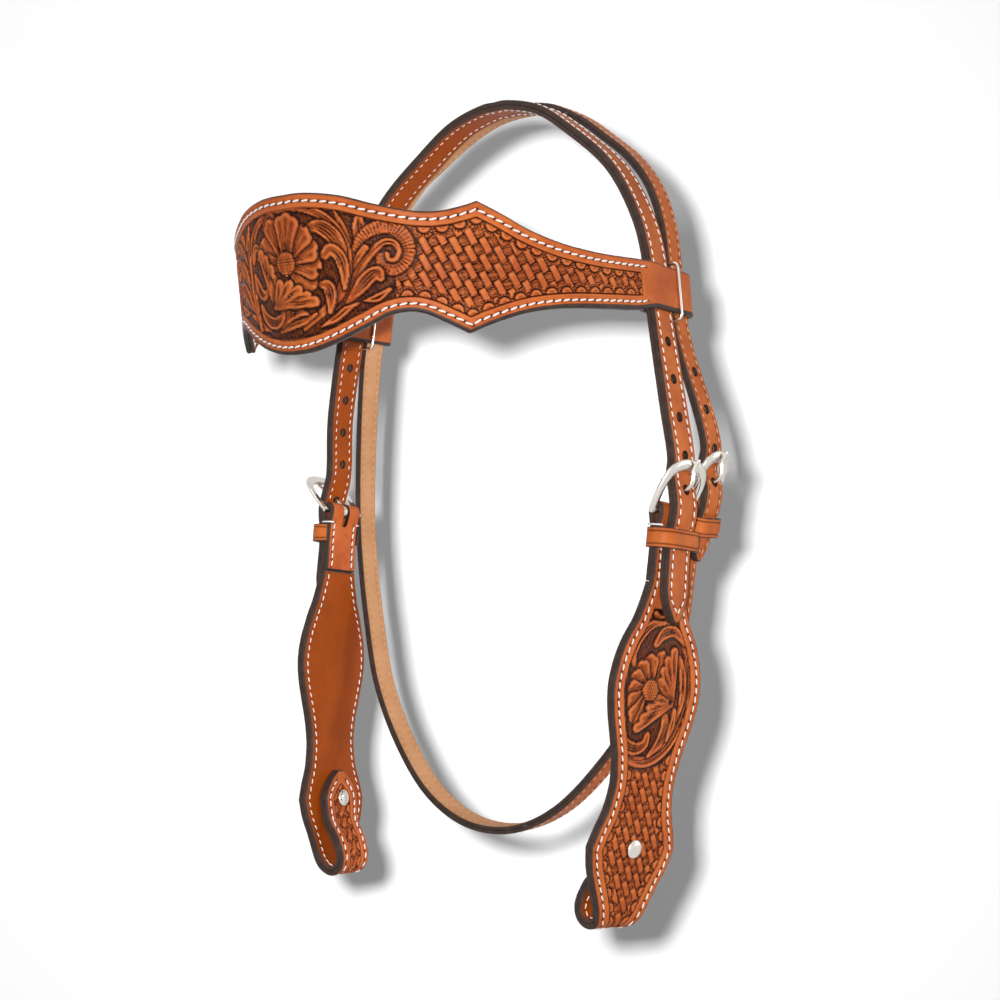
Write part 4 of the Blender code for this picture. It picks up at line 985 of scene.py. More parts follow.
def bandUp(point):
    frontY, tabY = bandRoute.at(bandCentre)[1], bandRoute.at(bandFront)[1]
    share = np.clip((point[..., 1:2] - frontY) / (tabY - frontY), 0, 1) ** 2
    side = np.where(point[..., :1] < 0, -1.0, 1.0)
    tabUp = tabAlong * np.concatenate([side, np.ones_like(side), np.ones_like(side)], axis=-1)
    return unit(np.array([0.0, -browband["rake"], 1.0])) * (1 - share) + tabUp * share


def bandEdge(height, shares, rear):
    front = [(along * bandArc, share * height) for along, share in shares]
    back = [(along * bandArc, share * height) for along, share in rear]
    back += [(bandArc, 0.52 * browband["tab"]), (bandArc + browband["lap"], browband["tab"] / 2)]
    back.append((bandCentre, browband["tab"] / 2))
    return smoothWidths(front, back)


bandCrest = bandEdge(browband["crest"], crestShares, crestRear)
bandBelly = bandEdge(browband["belly"], bellyShares, bellyRear)


def bandHalves(s):
    away = np.abs(s - bandCentre)
    return bandCrest(away), bandBelly(away)


def mirroredPoints(points, side):
    return [(x * side, y) for x, y in points]


def drawBandFlowers(tooling):
    # A garland round a wild rose, and a fern scroll with a bud on either side.
    leaf = tooling.leaf
    for side in (1, -1):
        def at(*points):
            return mirroredPoints(points, side)
        leaf(at((30.4, 6), (30.0, 13), (28.0, 20), (25.0, 26.5)), (0.9, 1.6, 1.4, 0.3), [(0.1, 0.1, 0.9)])
        leaf(at((32.0, 7), (33.2, 12), (34.6, 15)), (0.7, 1.0, 1.0))
        leaf(at((34.8, 15.5), (35.2, 19), (35.4, 22.3)), (1.9, 2.7, 1.8), [(0.15, 0.2, 0.9), (-0.4, 0.3, 0.8)], 0.5)
        scroll = at((32.5, 9.5), (36.2, 14.8), (41.8, 18.2), (48.8, 18.4), (53.6, 14.6), (55.4, 8.6), (53.4, 3.4),
                    (48.8, 0.8), (44.4, 3.6), (44.0, 8.0))
        tooling.ribs(scroll, (0.8, 2.0, 2.6, 2.9, 3.0, 2.9, 2.7, 2.4, 2.1, 1.6), 1.45)
        leaf(at((28.5, -11), (32, -4), (36.2, 3.4), (41, 9), (46, 12.6), (50, 11.8), (51.6, 8.4), (50.0, 5.2),
                (47.4, 5.2), (46.6, 7.6)), (1.2, 1.5, 1.6, 1.6, 1.6, 1.5, 1.3, 1.1, 1.0, 0.9),
             [(0.25, 0.08, 0.42), (-0.1, 0.45, 0.8)], 0.2)
        leaf(at((29, -12), (34.2, -6.5), (39, -1.6), (42.6, 0.2), (43.6, -2.0)), (1.0, 2.2, 3.1, 2.9, 1.9),
             [(0.45, 0.30, 0.92), (0.0, 0.36, 0.94), (-0.45, 0.36, 0.90)], 0.38)
        leaf(at((16, -21.6), (23, -18.6), (29, -14.6), (34, -12.4)), (0.4, 1.5, 1.5, 0.4), [(0.1, 0.2, 0.8)])
        leaf(at((36, -11.6), (42, -10.6), (47.4, -7.2)), (0.3, 1.8, 0.9), [(0.0, 0.2, 0.8)])
        leaf(at((31.6, 1.5), (34.8, 7), (37.6, 10.2)), (0.6, 1.3, 1.5), [(0.0, 0.2, 0.8)])
        leaf(at((38.6, 25), (44, 24.2), (49, 22.2)), (0.4, 1.1, 0.5))
        tooling.dots(at((38.5, 8.5), (36.0, -9.5), (41.0, 13.0)), 0.5)
    leaf([(-24, -20), (-26.4, -10), (-27.0, 2), (-26.0, 12), (-22, 20), (-14, 26.4), (-4, 28.4)],
         (1.0, 1.6, 1.8, 1.8, 1.7, 1.4, 0.6), [(0.25, 0.05, 0.95), (-0.35, 0.1, 0.8)])
    leaf([(7, -22), (14, -17.5), (21, -12.5), (27, -6), (29.6, 3), (28.8, 12), (25, 19.5), (17.5, 26), (7, 29.2),
          (-3, 28.4)], (0.9, 1.6, 2.1, 2.3, 2.2, 2.0, 1.9, 1.7, 1.4, 0.6), [(0.35, 0.10, 0.92), (-0.30, 0.22, 0.85)])
    leaf([(28.6, 4), (26.6, 11.5), (22.4, 17.5), (17, 20.6), (13.8, 20.2)], (1.0, 2.6, 3.3, 3.1, 2.0),
         [(0.55, 0.30, 0.95), (0.12, 0.34, 0.97), (-0.30, 0.36, 0.96), (-0.68, 0.40, 0.90)], 0.36)
    leaf([(28, -6), (28.2, 1.5), (26, 8), (22.4, 10.6), (19.8, 8.4)], (0.9, 2.0, 2.5, 2.5, 2.1),
         [(0.15, 0.25, 0.82), (-0.5, 0.30, 0.70), (0.62, 0.35, 0.7)], 0.40)
    leaf([(20.6, -15.5), (21.6, -9.5), (20.2, -4.4), (17.8, -4.0)], (1.0, 2.2, 2.7, 1.7),
         [(0.2, 0.25, 0.85), (-0.4, 0.35, 0.85), (0.65, 0.4, 0.8)], 0.36)
    leaf([(-8, -22.4), (0, -20.4), (8, -18.6), (14, -16)], (0.7, 1.5, 1.4, 0.5), [(0.1, 0.1, 0.8)])
    leaf([(-7, -20), (-2.4, -16.4), (3.6, -14.8), (9, -15.8)], (1.2, 2.5, 2.2, 0.7),
         [(0.45, 0.2, 0.8), (0.0, 0.2, 0.85), (-0.45, 0.25, 0.75)], 0.36)
    leaf([(-21.5, -9.5), (-18, -15.4), (-12, -18.4), (-6.4, -16.4), (-4.8, -13.4)], (0.7, 2.0, 2.7, 2.4, 1.2),
         [(0.5, 0.2, 0.85), (0.05, 0.2, 0.9), (-0.4, 0.25, 0.85)], 0.36)
    leaf([(-24.6, 4), (-21.6, -2.4), (-18, -5.8), (-15.6, -4.2)], (0.8, 2.3, 2.4, 1.4),
         [(0.4, 0.2, 0.85), (-0.05, 0.25, 0.9), (-0.5, 0.3, 0.8)], 0.36)
    leaf([(-24.4, 9), (-22.8, 14), (-20.6, 15.6), (-18.8, 13.2), (-19.8, 10.6)], (0.7, 1.5, 1.6, 1.5, 1.2),
         [(0.1, 0.2, 0.8)])
    leaf([(-13, 22), (-10, 25.8), (-6.6, 27.6), (-5.6, 25.4)], (0.9, 1.5, 1.5, 0.9), [(0.0, 0.2, 0.8)])
    rose = (-0.6, 6.3)
    petals = ((150, 19.5, 10, 3.0), (176, 15.5, 11, 2.8), (114, 21.5, 6, 2.8), (-36, 19.0, 12, 3.3),
              (-8, 18.8, 11, 3.2), (22, 18.4, 11, 3.2), (50, 19.4, 10, 3.2), (82, 21.6, 11, 3.3))
    for angle, reach, spread, width in petals:
        tooling.petal(rose, angle, reach, spread, width)
    tooling.dots([(-16.2, 12.6), (16.4, 2.0), (11.2, 21.4)], 0.9)
    tooling.ruffle((-10.8, -10.6), [(-17.0, 12.2), (-13.6, 9.4), (-10.6, 5.2), (-9.0, 0.6), (-8.4, -3.4)], 2.1)
    tooling.ruffle((-10.2, -11.6), [(-5.4, -2.2), (0.4, -2.8), (5.4, -5.4), (9.8, -8.4), (13.6, -10.8)], 2.3)
    tooling.disc(rose, 5.1)
    tooling.dots([(-10.8, -9.8)], 1.0)


def bandRelief(seams):
    plain = seamRelief(needlePlaces(seams, stitchLook["pitch"]))
    look = browband

    def relief(s, t, inset):
        drop, recess = plain(s, t, inset)
        x = bandCentre - s
        far = edgeDistance(bandHalves, bandCentre - 180, bandCentre + 180, s, t)
        inField = (far > look["borderInset"]) & (np.abs(x) < look["fieldEnd"])
        border = np.minimum(far - look["borderInset"], look["fieldEnd"] - np.abs(x))
        onBand = np.abs(x) < look["fieldEnd"] + 3
        line = np.exp(-(border / 0.38) ** 2) * onBand
        drop, recess = np.maximum(drop, 0.75 * line), np.maximum(recess, 0.95 * line)
        second = np.exp(-((border + 1.5) / 0.3) ** 2) * onBand
        drop = np.maximum(drop, 0.10 * second)
        tooling = Tooling(x[inField], t[inField])
        weave = np.nonzero(np.abs(tooling.x) > look["weaveFrom"] - 6)[0]
        basketWeave(tooling, weave, np.abs(tooling.x[weave]) - look["weaveFrom"], tooling.y[weave])
        start = look["weaveFrom"] - 4
        for way in (1, -1):
            for side in (1, -1):
                path = offsetRow(bandHalves, look["borderInset"], bandCentre + start,
                                 bandCentre + look["fieldEnd"] - 3, side)
                path = np.stack([(path[:, 0] - bandCentre) * way, path[:, 1]], axis=-1)
                halfRounds(tooling, path, look["stampPitch"], look["stampRadius"], -side * way)
        drawBandFlowers(tooling)
        soft = ease(border[inField], 0.0, 0.5)
        drop[inField] = np.maximum(drop[inField] * (1 - soft), tooling.drop * soft)
        recess[inField] = np.maximum(recess[inField] * (1 - soft), tooling.recess)
        return drop, recess
    return relief


bandLay = Lay(bandRoute, bandUp)
bandSeams = [offsetRow(bandHalves, browband["seamInset"], bandCentre - 172, bandCentre + 172, side)
             for side in (1, -1)]
mainPart = np.arange(bandFront, 2 * bandCentre - bandFront, browband["step"])
bandStations = np.concatenate([np.arange(0, bandFront - 1, 2.0), mainPart,
                               np.arange(2 * bandCentre - bandFront + 1, 2 * bandCentre, 2.0), [2 * bandCentre]])
# The dark at its lower edge reaches 0.9 mm further onto the skin: painted shade under the band.
bandFace = leatherPly("browbandTooled", bandLay, bandStations, bandHalves, (0.0, browband["face"]),
                      browband["across"], 0.95, toolingLeather, bandRelief(bandSeams), (True, True), 1.5,
                      (0.0, 0.9))
register(bandFace, "browband", "face_leather", "browband_face")
stitches("browbandStitches", bandLay, bandSeams, browband["face"], 1, "browband")

bandSmall = seamRelief(needlePlaces(bandSeams, stitchLook["pitch"]), strength=0.6)
linedPart = np.arange(bandFront, 2 * bandCentre - bandFront, 1.6)
bandLining = leatherPly("browbandLining", bandLay, linedPart, bandHalves,
                        (-layout["gap"], -innerOf(browband)), 40, 0.4, liningLeather, bandSmall,
                        (True, True))
register(bandLining, "browband", "lining_leather", "browband_lining")
stitches("browbandLiningStitches", bandLay, bandSeams, -innerOf(browband), -1, "browband", size=0.85)
print("browband made")


# The crown strap and the throatlatch


def strapHalves(look, length, bothPointed):
    def halves(s):
        share = np.minimum(s / look["point"], 1.0)
        if bothPointed:
            share = np.minimum(share, (length - s) / look["point"])
        rise = 1 - (1 - np.clip(share, 0, 1)) ** 1.8
        width = look["half"] * (look["blunt"] + (1 - look["blunt"]) * rise)
        return width, width
    return halves


def applied(piece, modifier):
    bpy.ops.object.select_all(action="DESELECT")
    bpy.context.view_layer.objects.active = piece
    piece.select_set(True)
    bpy.ops.object.modifier_apply(modifier=modifier.name)
    piece.select_set(False)


def combine(pieces, other, operation):
    for piece in pieces:
        cut = piece.modifiers.new("combined", "BOOLEAN")
        cut.operation, cut.solver, cut.object = operation, "EXACT", other
        cut.material_mode = "TRANSFER"
        applied(piece, cut)
    bpy.data.objects.remove(other)


def punch(pieces, places, diameter):
    # Punched holes: one round cutter for each, all taken out of both plies.
    bpy.ops.object.select_all(action="DESELECT")
    made = []
    for centre, direction in places:
        turn = Vector(direction).to_track_quat("Z", "Y")
        bpy.ops.mesh.primitive_cylinder_add(vertices=28, radius=diameter / 2000, depth=0.014,
                                            location=Vector(centre) / 1000, rotation=turn.to_euler())
        made.append(bpy.context.object)
    for item in made:
        item.select_set(True)
    if len(made) > 1:
        bpy.ops.object.join()
    cutter = bpy.context.object
    cutter.data.materials.append(cutLeather)
    combine(pieces, cutter, "DIFFERENCE")


def mirroredCopy(piece, name, body, *nodes):
    twin = piece.copy()
    twin.data = piece.data.copy()
    twin.name = twin.data.name = name
    bpy.context.scene.collection.objects.link(twin)
    twin.data.transform(Matrix.Scale(-1, 4, (1, 0, 0)))
    twin.data.flip_normals()
    return register(twin, body, piece["slotName"], *nodes)


def slotCutter(name, halfWidth, reach, depth):
    # The oblong slot through the folded leather that the tongue's eye stands out of.
    turn = np.linspace(0, math.pi, 15)
    rim = [(halfWidth * math.cos(a), reach + halfWidth * math.sin(a)) for a in turn]
    rim += [(-halfWidth * math.cos(a), halfWidth - reach - halfWidth * math.sin(a)) for a in turn]
    count = len(rim)
    verts = [(-depth / 2, y, z) for y, z in rim] + [(depth / 2, y, z) for y, z in rim]
    faces = [tuple(reversed(range(count))), tuple(range(count, 2 * count))]
    faces += [(k, (k + 1) % count, count + (k + 1) % count, count + k) for k in range(count)]
    return meshFrom("slotCutter", atBar(name, verts), faces, cutLeather)


crownLay = Lay(crownRoute, widthNear("cheek", crown["tail"], True))
crownHalves = strapHalves(crown, crownRoute.length, True)
crownStations = np.linspace(0, crownRoute.length, int(crownRoute.length / crown["step"]))
crownSeams = []
for side in (1, -1):
    half = pointedRow(crownHalves, crown["seamInset"], crown["vertex"], crown["shoulder"],
                      crownRoute.length / 2, side)
    rest = half[::-1] * (-1, 1) + (crownRoute.length, 0)
    crownSeams.append(np.vstack([half, rest]))
crownHoles = needlePlaces(crownSeams, stitchLook["pitch"])
crownFace = leatherPly("crownStrap", crownLay, crownStations, crownHalves, (0.0, crown["face"]), crown["across"],
                       0.7, strapLeather, seamRelief(crownHoles), (True, True))
crownLining = leatherPly("crownLiningPly", crownLay, crownStations, crownHalves,
                         (-layout["gap"], -innerOf(crown)), crown["across"], 0.45, liningLeather,
                         seamRelief(crownHoles, strength=0.5), (True, True))
register(crownFace, "straps", "face_leather", "crown_face")
register(crownLining, "straps", "lining_leather", "crown_lining")
stitches("crownStitches", crownLay, crownSeams, crown["face"], 1, "straps", size=0.80)
stitches("crownLiningStitches", crownLay, crownSeams, -innerOf(crown), -1, "straps", size=0.6)


def strapHoles(lay, look):
    places = []
    for turn in range(look["holes"]):
        s = lay.route.marks[look["holeMark"]] + look["holePitch"] * (turn + 1)
        point, wide, along, outward = lay.frames(np.array([s]))
        places.append((point[0], outward[0]))
    return places


crownPlaces = strapHoles(crownLay, crown)
crownPlaces += [(np.array(centre) * (-1, 1, 1), np.array(way) * (-1, 1, 1)) for centre, way in crownPlaces]

throatRoute = Route(throatRows())
throatLay = Lay(throatRoute, widthNear("throat", throat["turnBack"], False))
throatHalves = strapHalves(throat, throatRoute.length, False)
throatEnd = throatRoute.marks[throat["seamMark"]]
throatStations = np.linspace(0, throatRoute.length, int(throatRoute.length / throat["step"]))
linedStations = np.linspace(0, throatEnd - 0.7, int(throatEnd / throat["step"]))
throatSeams = [pointedRow(throatHalves, throat["seamInset"], throat["vertex"], throat["shoulder"],
                          throatEnd - 2, side) for side in (1, -1)]
throatNeedles = needlePlaces(throatSeams, stitchLook["pitch"])
throatFace = leatherPly("throatStrap", throatLay, throatStations, throatHalves, (0.0, throat["face"]),
                        throat["across"], 0.6, strapLeather, seamRelief(throatNeedles), (True, True))
throatLining = leatherPly("throatLiningPly", throatLay, linedStations, throatHalves,
                          (-layout["gap"], -innerOf(throat)), throat["across"], 0.4, fleshLeather,
                          seamRelief(throatNeedles, strength=0.5), (True, True))
register(throatFace, "straps", "face_leather", "throatlatch_face")
register(throatLining, "straps", "flesh_leather", "throatlatch_lining")
stitches("throatStitches", throatLay, throatSeams, throat["face"], 1, "straps", size=0.62, material=tanThread)
stitches("throatLiningStitches", throatLay, throatSeams, -innerOf(throat), -1, "straps", size=0.42,
         material=tanThread)
throatPlaces = strapHoles(throatLay, throat)
offHole = [place * (-1, 1, 1) for place in tongueHole("cheek", blades["off"])]
punch([crownFace, crownLining], crownPlaces + [tongueHole("cheek", blades["near"]), offHole], crown["hole"])
punch([throatFace, throatLining], throatPlaces + [tongueHole("throat", blades["throat"])], throat["hole"])
slots = {"halfWidth": 2.2, "reach": 8.5}
combine([throatFace], slotCutter("throat", depth=8.1, **slots), "DIFFERENCE")
print("crown strap and throatlatch made")


# The cheekpieces: one is made and then mirrored

lowerShares = [(1.245, 0.41), (1.21, 0.49), (1.16, 0.60), (1.11, 0.73), (1.06, 0.86), (1.0, 0.945)]
upperShares = [(1.0, 0.945), (0.95, 0.86), (0.89, 0.735), (0.81, 0.675), (0.73, 0.735), (0.66, 0.85), (0.60, 0.945),
               (0.53, 1.0), (0.455, 0.945), (0.38, 0.79), (0.315, 0.60)]
cheekRoute = Route(cheekRows())
screwAt, barAt, liningEnd = cheekRoute.marks[11], cheekRoute.marks[20], cheekRoute.marks[15] - 0.3


def cheekWidthRows():
    look = cheek
    waist = lowerShares[0][1] * look["half"]

    def rows(shares):
        return [(screwAt + (1 - down) * look["drop"], share * look["half"]) for down, share in shares]
    rise, flare = look["tabRise"], look["flare"]
    tip = [(0.0, 0.12 * flare), (0.32 * rise, 0.55 * flare), (0.66 * rise, 0.85 * flare), (rise, flare)]
    tab = [(rise, flare), (rise + 0.45 * look["loop"], 0.4 * flare + 0.6 * waist),
           (rise + 0.95 * look["loop"], waist)]
    upper = rows(upperShares) + [(barAt - 0.225 * look["drop"], 1.04 * look["neck"])]
    upper += [(barAt - 0.16 * look["drop"], look["neck"]), (barAt, look["neck"]),
              (cheekRoute.length, look["neck"])]
    return smoothWidths(tip, tab + rows(lowerShares), upper)


cheekWidths = cheekWidthRows()


def cheekHalves(s):
    return cheekWidths(s), cheekWidths(s)


def drawCheekFlowers(tooling, cx, cy):
    # A rose seen from its side, held by one long stem that runs round it.
    def leaf(points, *rest):
        tooling.leaf([(x + cx, y + cy) for x, y in points], *rest)
    leaf(((-15.5, -8), (-18.5, -16), (-16, -25.5), (-8, -31), (3, -31.5), (13, -26), (20.5, -15), (23.5, -2), (23, 11),
          (18.5, 22), (10.5, 29), (2, 31)), (0.5, 1.3, 2.0, 2.4, 2.5, 2.4, 2.3, 2.1, 1.9, 1.7, 1.4, 0.6),
         [(0.4, 0.06, 0.94), (-0.25, 0.16, 0.88)])
    leaf(((18.5, -13), (20.6, -3), (19.6, 8), (16.6, 16)), (0.6, 1.5, 2.1, 1.1),
         [(0.3, 0.2, 0.85), (-0.35, 0.3, 0.85)], 0.36)
    leaf(((3, -29), (8.5, -23.5), (11.6, -17), (11.0, -11.6)), (0.9, 2.1, 2.9, 2.1),
         [(0.45, 0.2, 0.88), (0.0, 0.25, 0.9), (-0.45, 0.3, 0.88)], 0.38)
    leaf(((-15, -16), (-13.4, -22.6), (-7, -26), (-0.6, -24), (0.8, -19.8)), (0.9, 2.3, 2.9, 2.5, 1.6),
         [(0.5, 0.15, 0.8), (0.05, 0.18, 0.85), (-0.4, 0.2, 0.85)], 0.38)
    leaf(((13.5, -22), (16, -14.5), (16.4, -8)), (0.5, 1.6, 1.3), [(0.0, 0.2, 0.85)])
    leaf(((19, 22), (12, 27.4), (4.6, 26.0), (0.4, 21.4)), (0.7, 2.3, 2.8, 1.7),
         [(0.45, 0.2, 0.85), (0.0, 0.25, 0.9), (-0.45, 0.3, 0.85)], 0.38)
    leaf(((5, 31), (-4, 29.5), (-11, 23), (-13.6, 15), (-12.4, 11.6)), (0.8, 1.8, 2.3, 2.1, 1.3),
         [(0.4, 0.12, 0.85), (-0.2, 0.2, 0.85)], 0.30)
    rose = (cx - 0.5, cy + 0.5)
    petals = ((70, 19.0, 5, 2.4), (96, 16.4, 9, 2.5), (124, 15.2, 9, 2.5), (152, 14.4, 9, 2.5),
              (180, 14.4, 9, 2.4), (208, 15.4, 9, 2.5), (234, 18.0, 8, 2.5), (252, 20.0, 5, 2.3))
    for angle, reach, spread, width in petals:
        tooling.petal(rose, angle, reach, spread, width)
    upper = ((5.6, 4.2), (7.0, 9.4), (9.0, 14.2), (12.6, 18.2))
    lower = ((4.0, -3.0), (0.4, -7.6), (-3.2, -12.2), (-6.4, -16.6))
    tooling.ruffle((cx + 14.5, cy - 4.4), [(cx + x, cy + y) for x, y in upper], 2.3)
    tooling.ruffle((cx + 14.0, cy - 5.4), [(cx + x, cy + y) for x, y in lower], 2.3)
    tooling.disc(rose, 4.7)
    tooling.dots([(cx + 13.2, cy - 4.6)], 1.1)


def cheekRelief(seams):
    plain = seamRelief(needlePlaces(seams, stitchLook["pitch"]))
    look = cheek

    def relief(s, t, inset):
        drop, recess = plain(s, t, inset)
        down = screwAt + look["drop"] - s          # about how far below the bar
        far = np.minimum(edgeDistance(cheekHalves, 0, cheekRoute.length, s, t), s + 2)
        border = np.minimum(far - look["borderInset"], down - look["fieldTop"])
        inField = border > 0
        line = np.exp(-(border / 0.36) ** 2) * (down > look["fieldTop"] - 2)
        drop, recess = np.maximum(drop, 0.7 * line), np.maximum(recess, 0.95 * line)
        tooling = Tooling(t[inField], -down[inField])
        weave = np.nonzero(tooling.y < 0)[0]
        basketWeave(tooling, weave, tooling.x[weave], tooling.y[weave])
        for side in (1, -1):
            path = offsetRow(cheekHalves, look["borderInset"], 6.0, screwAt + look["drop"] - 104, side)
            path = np.stack([path[:, 1], path[:, 0] - screwAt - look["drop"]], axis=-1)
            halfRounds(tooling, path, look["stampPitch"], look["stampRadius"], side)
        oval = np.hypot((tooling.x - look["flowerAside"] - 3) / 24.5, (tooling.y + look["flowerDrop"] + 0.5) / 34.0)
        above = tooling.y > -look["flowerDrop"]
        ground = np.nonzero((oval < 1) | above)[0]
        fresh = Tooling(tooling.x[ground], tooling.y[ground])
        tooling.drop[ground], tooling.recess[ground] = fresh.drop, fresh.recess
        tooling.leaf([(6, -45), (2, -48), (-3, -49), (-6, -46)], (0.8, 2.2, 2.4, 1.2),
                     [(0.3, 0.2, 0.8), (-0.3, 0.2, 0.8)], 0.3)
        drawCheekFlowers(tooling, look["flowerAside"], -look["flowerDrop"])
        soft = ease(border[inField], 0.0, 0.5)
        drop[inField] = np.maximum(drop[inField] * (1 - soft), tooling.drop * soft)
        recess[inField] = np.maximum(recess[inField] * (1 - soft), tooling.recess)
        return drop, recess
    return relief


cheekLay = Lay(cheekRoute, cheekWidth, barFrame("cheek"))
foldFree = 9.5  # the fold itself is not sewn
facePaths = [offsetRow(cheekHalves, cheek["seamInset"], 3.0, barAt - foldFree, side) for side in (1, -1)]
backPaths = [edgeRow(cheekHalves, cheek["seamInset"], barAt + foldFree, cheekRoute.length - 1.2, side)
             for side in (1, -1)]
innerPaths = [path[path[:, 0] < liningEnd - 1.2] for path in facePaths]
cheekStations = np.concatenate([np.arange(0, barAt - 24, cheek["step"]), np.arange(barAt - 24, barAt - 9, 1.2),
                                np.arange(barAt - 9, cheekRoute.length, 0.5), [cheekRoute.length]])
linedStations = np.append(np.arange(0, liningEnd, 1.1), liningEnd)
liningSkin = -innerOf(cheek)
cheekFace = leatherPly("cheekTooled_near", cheekLay, cheekStations, cheekHalves, (0.0, cheek["face"]),
                       cheek["across"], 0.85, toolingLeather, cheekRelief(facePaths + backPaths), (True, True), 1.5)
cheekLining = leatherPly("cheekLiningPly_near", cheekLay, linedStations, cheekHalves, (-layout["gap"], liningSkin),
                         30, 0.6, liningLeather,
                         seamRelief(needlePlaces(innerPaths, stitchLook["pitch"]), strength=0.6), (True, True))
screwCentre, screwWide, screwAlong, screwOut = [rows[0] for rows in cheekLay.frames(np.array([screwAt]))]
screwAxis = np.stack([screwWide, screwAlong, screwOut], axis=1)
bores = [(screwCentre - screwOut * cheek["boreMiddle"], screwOut)]
punch([cheekFace, cheekLining], bores, cheek["bore"])
combine([cheekFace], slotCutter("cheek", depth=12.0, **slots), "DIFFERENCE")
register(cheekFace, "straps", "face_leather", "cheek_face_near")
register(cheekLining, "straps", "lining_leather", "cheek_lining_near")
mirroredCopy(cheekFace, "cheekTooled_off", "straps", "cheek_face_off")
mirroredCopy(cheekLining, "cheekLiningPly_off", "straps", "cheek_lining_off")
for name, paths, depth, sign, size in (("cheekStitches", facePaths + backPaths, cheek["face"], 1, 0.86),
                                       ("cheekLiningStitches", innerPaths, liningSkin, -1, 0.76)):
    row = stitches(name + "_near", cheekLay, paths, depth, sign, "straps", size=size)
    mirroredCopy(row, name + "_off", "straps")
print("cheekpieces made")


# Keepers: leather loops that hold the billets' ends


def makeKeeper(name, barName, node, look, halfInside, sweep):
    half, inside = keeper["ply"] / 2, layout["gap"] / 2 + look["foldPly"]
    edge, bulge, drop = halfInside + layout["gap"] + half, look["keeperBulge"], look["keeperDrop"]
    billetTop = inside + look["keeperLays"] * layout["layGap"] + innerOf(look) + look["face"]
    top = billetTop + layout["layGap"] + half
    side = [(-inside, edge), (0.28 * top, edge + bulge), (0.60 * top, edge + 0.6 * bulge),
            (0.88 * top, 0.88 * edge), (top, 0.66 * edge)]
    rows = side + [(top, 0.0)] + [(x, -y) for x, y in reversed(side)]
    route = Route([(x - sweep(drop), y, -drop) for x, y in rows])
    lay = Lay(route, lambda point: np.array([0.0, 0.0, 1.0]) + 0 * point, barFrame(barName))

    def halves(s):
        return np.full(s.shape, keeper["height"] / 2), np.full(s.shape, keeper["height"] / 2)

    def relief(s, t, inset):
        sides = np.minimum(t, -t) + keeper["height"] / 2
        line = np.exp(-((sides - keeper["lineInset"]) / keeper["lineWidth"]) ** 2)
        return 0.30 * line, 0.80 * line
    piece = leatherPly(name, lay, np.arange(0, route.length, 0.5), halves, (-half, half), 26, 0.55, strapLeather,
                       relief, (True, True))
    return register(piece, "straps", "face_leather", node)


keeperNear = makeKeeper("keeperLoop_near", "cheek", "keeper_near", crown, cheek["neck"], noSweep)
mirroredCopy(keeperNear, "keeperLoop_off", "straps", "keeper_off")
makeKeeper("keeperLoop_throatlatch", "throat", "keeper_throatlatch", throat, throat["half"], throatSweep)


def wire(name, points, radius, material, closed):
    curve = bpy.data.curves.new(name, "CURVE")
    curve.dimensions = "3D"
    curve.bevel_depth = radius / 1000
    curve.bevel_resolution = 4
    curve.use_fill_caps = not closed
    spline = curve.splines.new("POLY")
    spline.points.add(len(points) - 1)
    for corner, place in zip(spline.points, np.asarray(points) / 1000):
        corner.co = (*place, 1)
    spline.use_cyclic_u = closed
    made = bpy.data.objects.new(name, curve)
    bpy.context.scene.collection.objects.link(made)
    bpy.ops.object.select_all(action="DESELECT")
    bpy.context.view_layer.objects.active = made
    made.select_set(True)
    bpy.ops.object.convert(target="MESH")
    made = bpy.context.object
    made.data.materials.append(material)
    made.data.shade_smooth()
    made.select_set(False)
    return made


# The seam's last stitches, drawn round the folded strap's edge below the bar
for number, (level, edgeSide) in enumerate(((-6.6, -1), (-6.6, 1))):
    arc = [(-3.3, 9.2), (-3.1, 10.95), (-1.5, 11.35), (1.5, 11.35), (3.1, 10.95), (3.3, 9.2)]
    bar = wire("edgeThread_near_" + str(number), atBar("cheek", [(x, y * edgeSide, level) for x, y in arc]), 0.42,
               thread, False)
    register(bar, "straps", "face_leather")
    mirroredCopy(bar, "edgeThread_off_" + str(number), "straps")
print("keepers made")


# Buckles, screws and dividers

# Across the plate from its opening outwards: how far in from its inner or outer edge, and how high
plateSection = [(0.0, -0.65, "in"), (0.0, 0.5, "in"), (0.12, 0.82, "in"), (0.5, 1.02, "in"), (1.75, 1.05, "out"),
                (1.1, 0.86, "out"), (0.35, 0.35, "out"), (0.05, 0.0, "out"), (0.0, -0.6, "out"), (0.3, -1.0, "out"),
                (0.9, -1.05, "out"), (0.3, -1.05, "in")]


def plateOutline(innerWidth, band, top):
    shoulder = buckle["shoulder"] * buckle["height"]
    half = innerWidth / 2 + band
    legs = []
    for rise in np.linspace(-buckle["bar"] / shoulder, 1, 12)[:-1]:
        legs.append((half + buckle["swell"] * (1 - (1 - rise) ** 2), rise * shoulder))
    arch = []
    for angle in np.linspace(0, math.pi, 49):
        across = math.copysign(abs(math.cos(angle)) ** (2 / buckle["archPower"]), math.cos(angle))
        up = abs(math.sin(angle)) ** (2 / buckle["archPower"])
        arch.append(((half + buckle["swell"]) * across, shoulder + (top - shoulder) * up))
    return np.array(legs + arch + [(-y, z) for y, z in reversed(legs)])


def dressMetal(piece, body, node, angle=42):
    smoothByAngle(piece, angle)
    return register(piece, body, "satin_nickel", node)


def loftFaces(count, around, closed):
    faces = []
    for k in range(count if closed else count - 1):
        for a in range(around):
            b, after = (a + 1) % around, (k + 1) % count
            faces.append((k * around + a, k * around + b, after * around + b, after * around + a))
    if not closed:
        faces += [tuple(reversed(range(around))), tuple((count - 1) * around + a for a in range(around))]
    return faces


